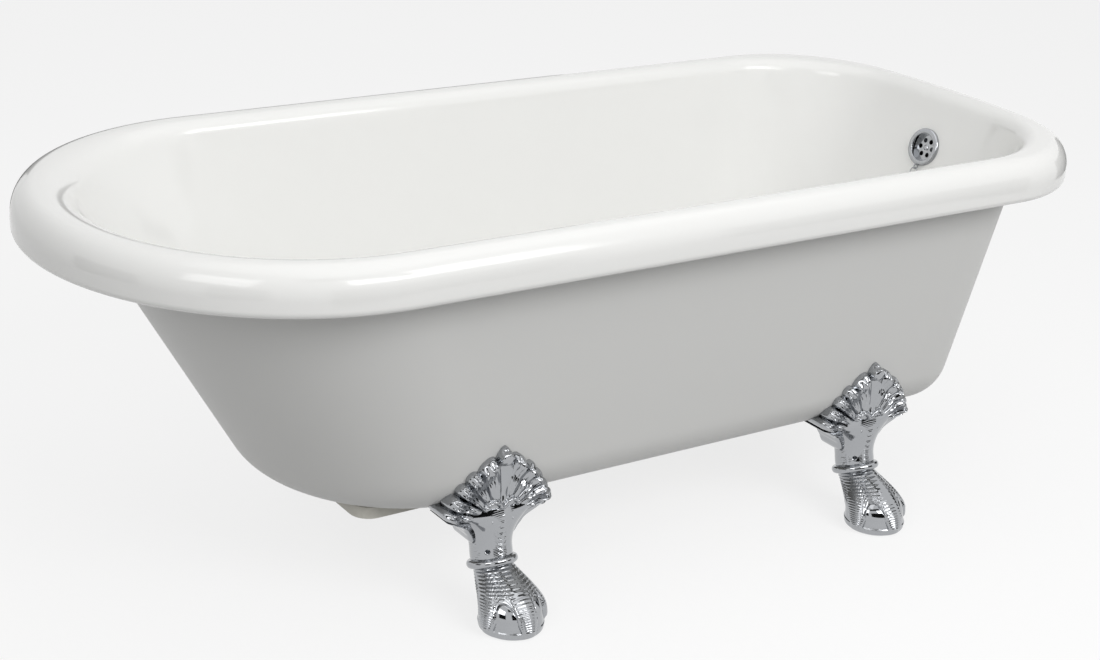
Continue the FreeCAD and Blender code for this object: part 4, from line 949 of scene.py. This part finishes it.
# 1 for what the camera sees, straight or in metal or glass
def seenOrMirrored(tree):
    ray = node(tree, "ShaderNodeLightPath")
    both = node(tree, "ShaderNodeMath", {"operation": "MAXIMUM"}, in0=ray.outputs["Is Camera Ray"],
                in1=ray.outputs["Is Glossy Ray"])
    return node(tree, "ShaderNodeMath", {"operation": "MAXIMUM"}, in0=both.outputs[0],
                in1=ray.outputs["Is Transmission Ray"]).outputs[0]


def sheet(name, wide, high, finish):
    data = bpy.data.meshes.new(name)
    w, h = wide / 2, high / 2
    data.from_pydata([(-w, -h, 0), (w, -h, 0), (w, h, 0), (-w, h, 0)], [], [(0, 1, 2, 3)])
    data.materials.append(finish)
    made = bpy.data.objects.new(name, data)
    scene.collection.objects.link(made)
    return made


# matt paper: grey for the light it throws on the object, near white with a faint shadow where it is seen
def studioPaper():
    made, tree, shader = material("studioPaper")
    shader.inputs["Base Color"].default_value = linear(studio["paper"])
    shader.inputs["Roughness"].default_value = 1
    shader.inputs["Specular IOR Level"].default_value = 0
    glow = node(tree, "ShaderNodeEmission", {"Color": (1, 1, 1, 1), "Strength": 1.0})
    paper = node(tree, "ShaderNodeBsdfDiffuse", {"Color": linear("ffffff")})
    bright = node(tree, "ShaderNodeMixShader", {"Fac": studio["shade"]},
                  in1=glow.outputs[0], in2=paper.outputs[0])
    pick = node(tree, "ShaderNodeMixShader", Fac=seenOrMirrored(tree),
                in1=shader.outputs[0], in2=bright.outputs[0])
    tree.links.new(pick.outputs[0], tree.nodes["Material Output"].inputs["Surface"])
    return made


# even white world, full white where the camera sees it
def addWorld():
    world = bpy.data.worlds.new("studioWorld")
    scene.world = world
    world.use_nodes = True
    tree = world.node_tree
    dim = tree.nodes["Background"]
    dim.inputs["Color"].default_value = (1, 1, 1, 1)
    dim.inputs["Strength"].default_value = studio["world"]
    white = node(tree, "ShaderNodeBackground", {"Color": (1, 1, 1, 1), "Strength": 1.0})
    pick = node(tree, "ShaderNodeMixShader", Fac=seenOrMirrored(tree),
                in1=dim.outputs[0], in2=white.outputs[0])
    tree.links.new(pick.outputs["Shader"], tree.nodes["World Output"].inputs["Surface"])


# stands at a place and turns one of its axes to its aim
def facing(place, aim, axis):
    way = Vector(aim) - Vector(place)
    return Matrix.Translation(place) @ way.to_track_quat(axis, "Y").to_matrix().to_4x4()


def softbox(name, place, aim, size, power):
    data = bpy.data.lights.new(name, "AREA")
    data.shape = "RECTANGLE"
    data.size, data.size_y = size
    data.energy = power
    thing = bpy.data.objects.new(name, data)
    thing.matrix_world = facing(place, aim, "-Z")
    scene.collection.objects.link(thing)


# flocked black card: only reflections show it, as the dark shapes in chrome and gloss
def flockedCard():
    made, tree, shader = material("flockedCard")
    shader.inputs["Base Color"].default_value = linear(studio["card"])
    shader.inputs["Roughness"].default_value = 1
    return made


sheet("studioFloor", studio["floor"], studio["floor"], studioPaper())
addWorld()
for name, (place, aim, size, power) in studio["lamps"].items():
    softbox(name, place, aim, size, power)
cardFinish = flockedCard()
for place, size in studio["cards"]:
    card = sheet("flag", *size, cardFinish)
    card.matrix_world = facing(place, (0, 0, place[2] * studio["cardAim"]), "Z")
    card.visible_camera = card.visible_shadow = card.visible_diffuse = False
scene.view_settings.view_transform = "Standard"
print("studio set")
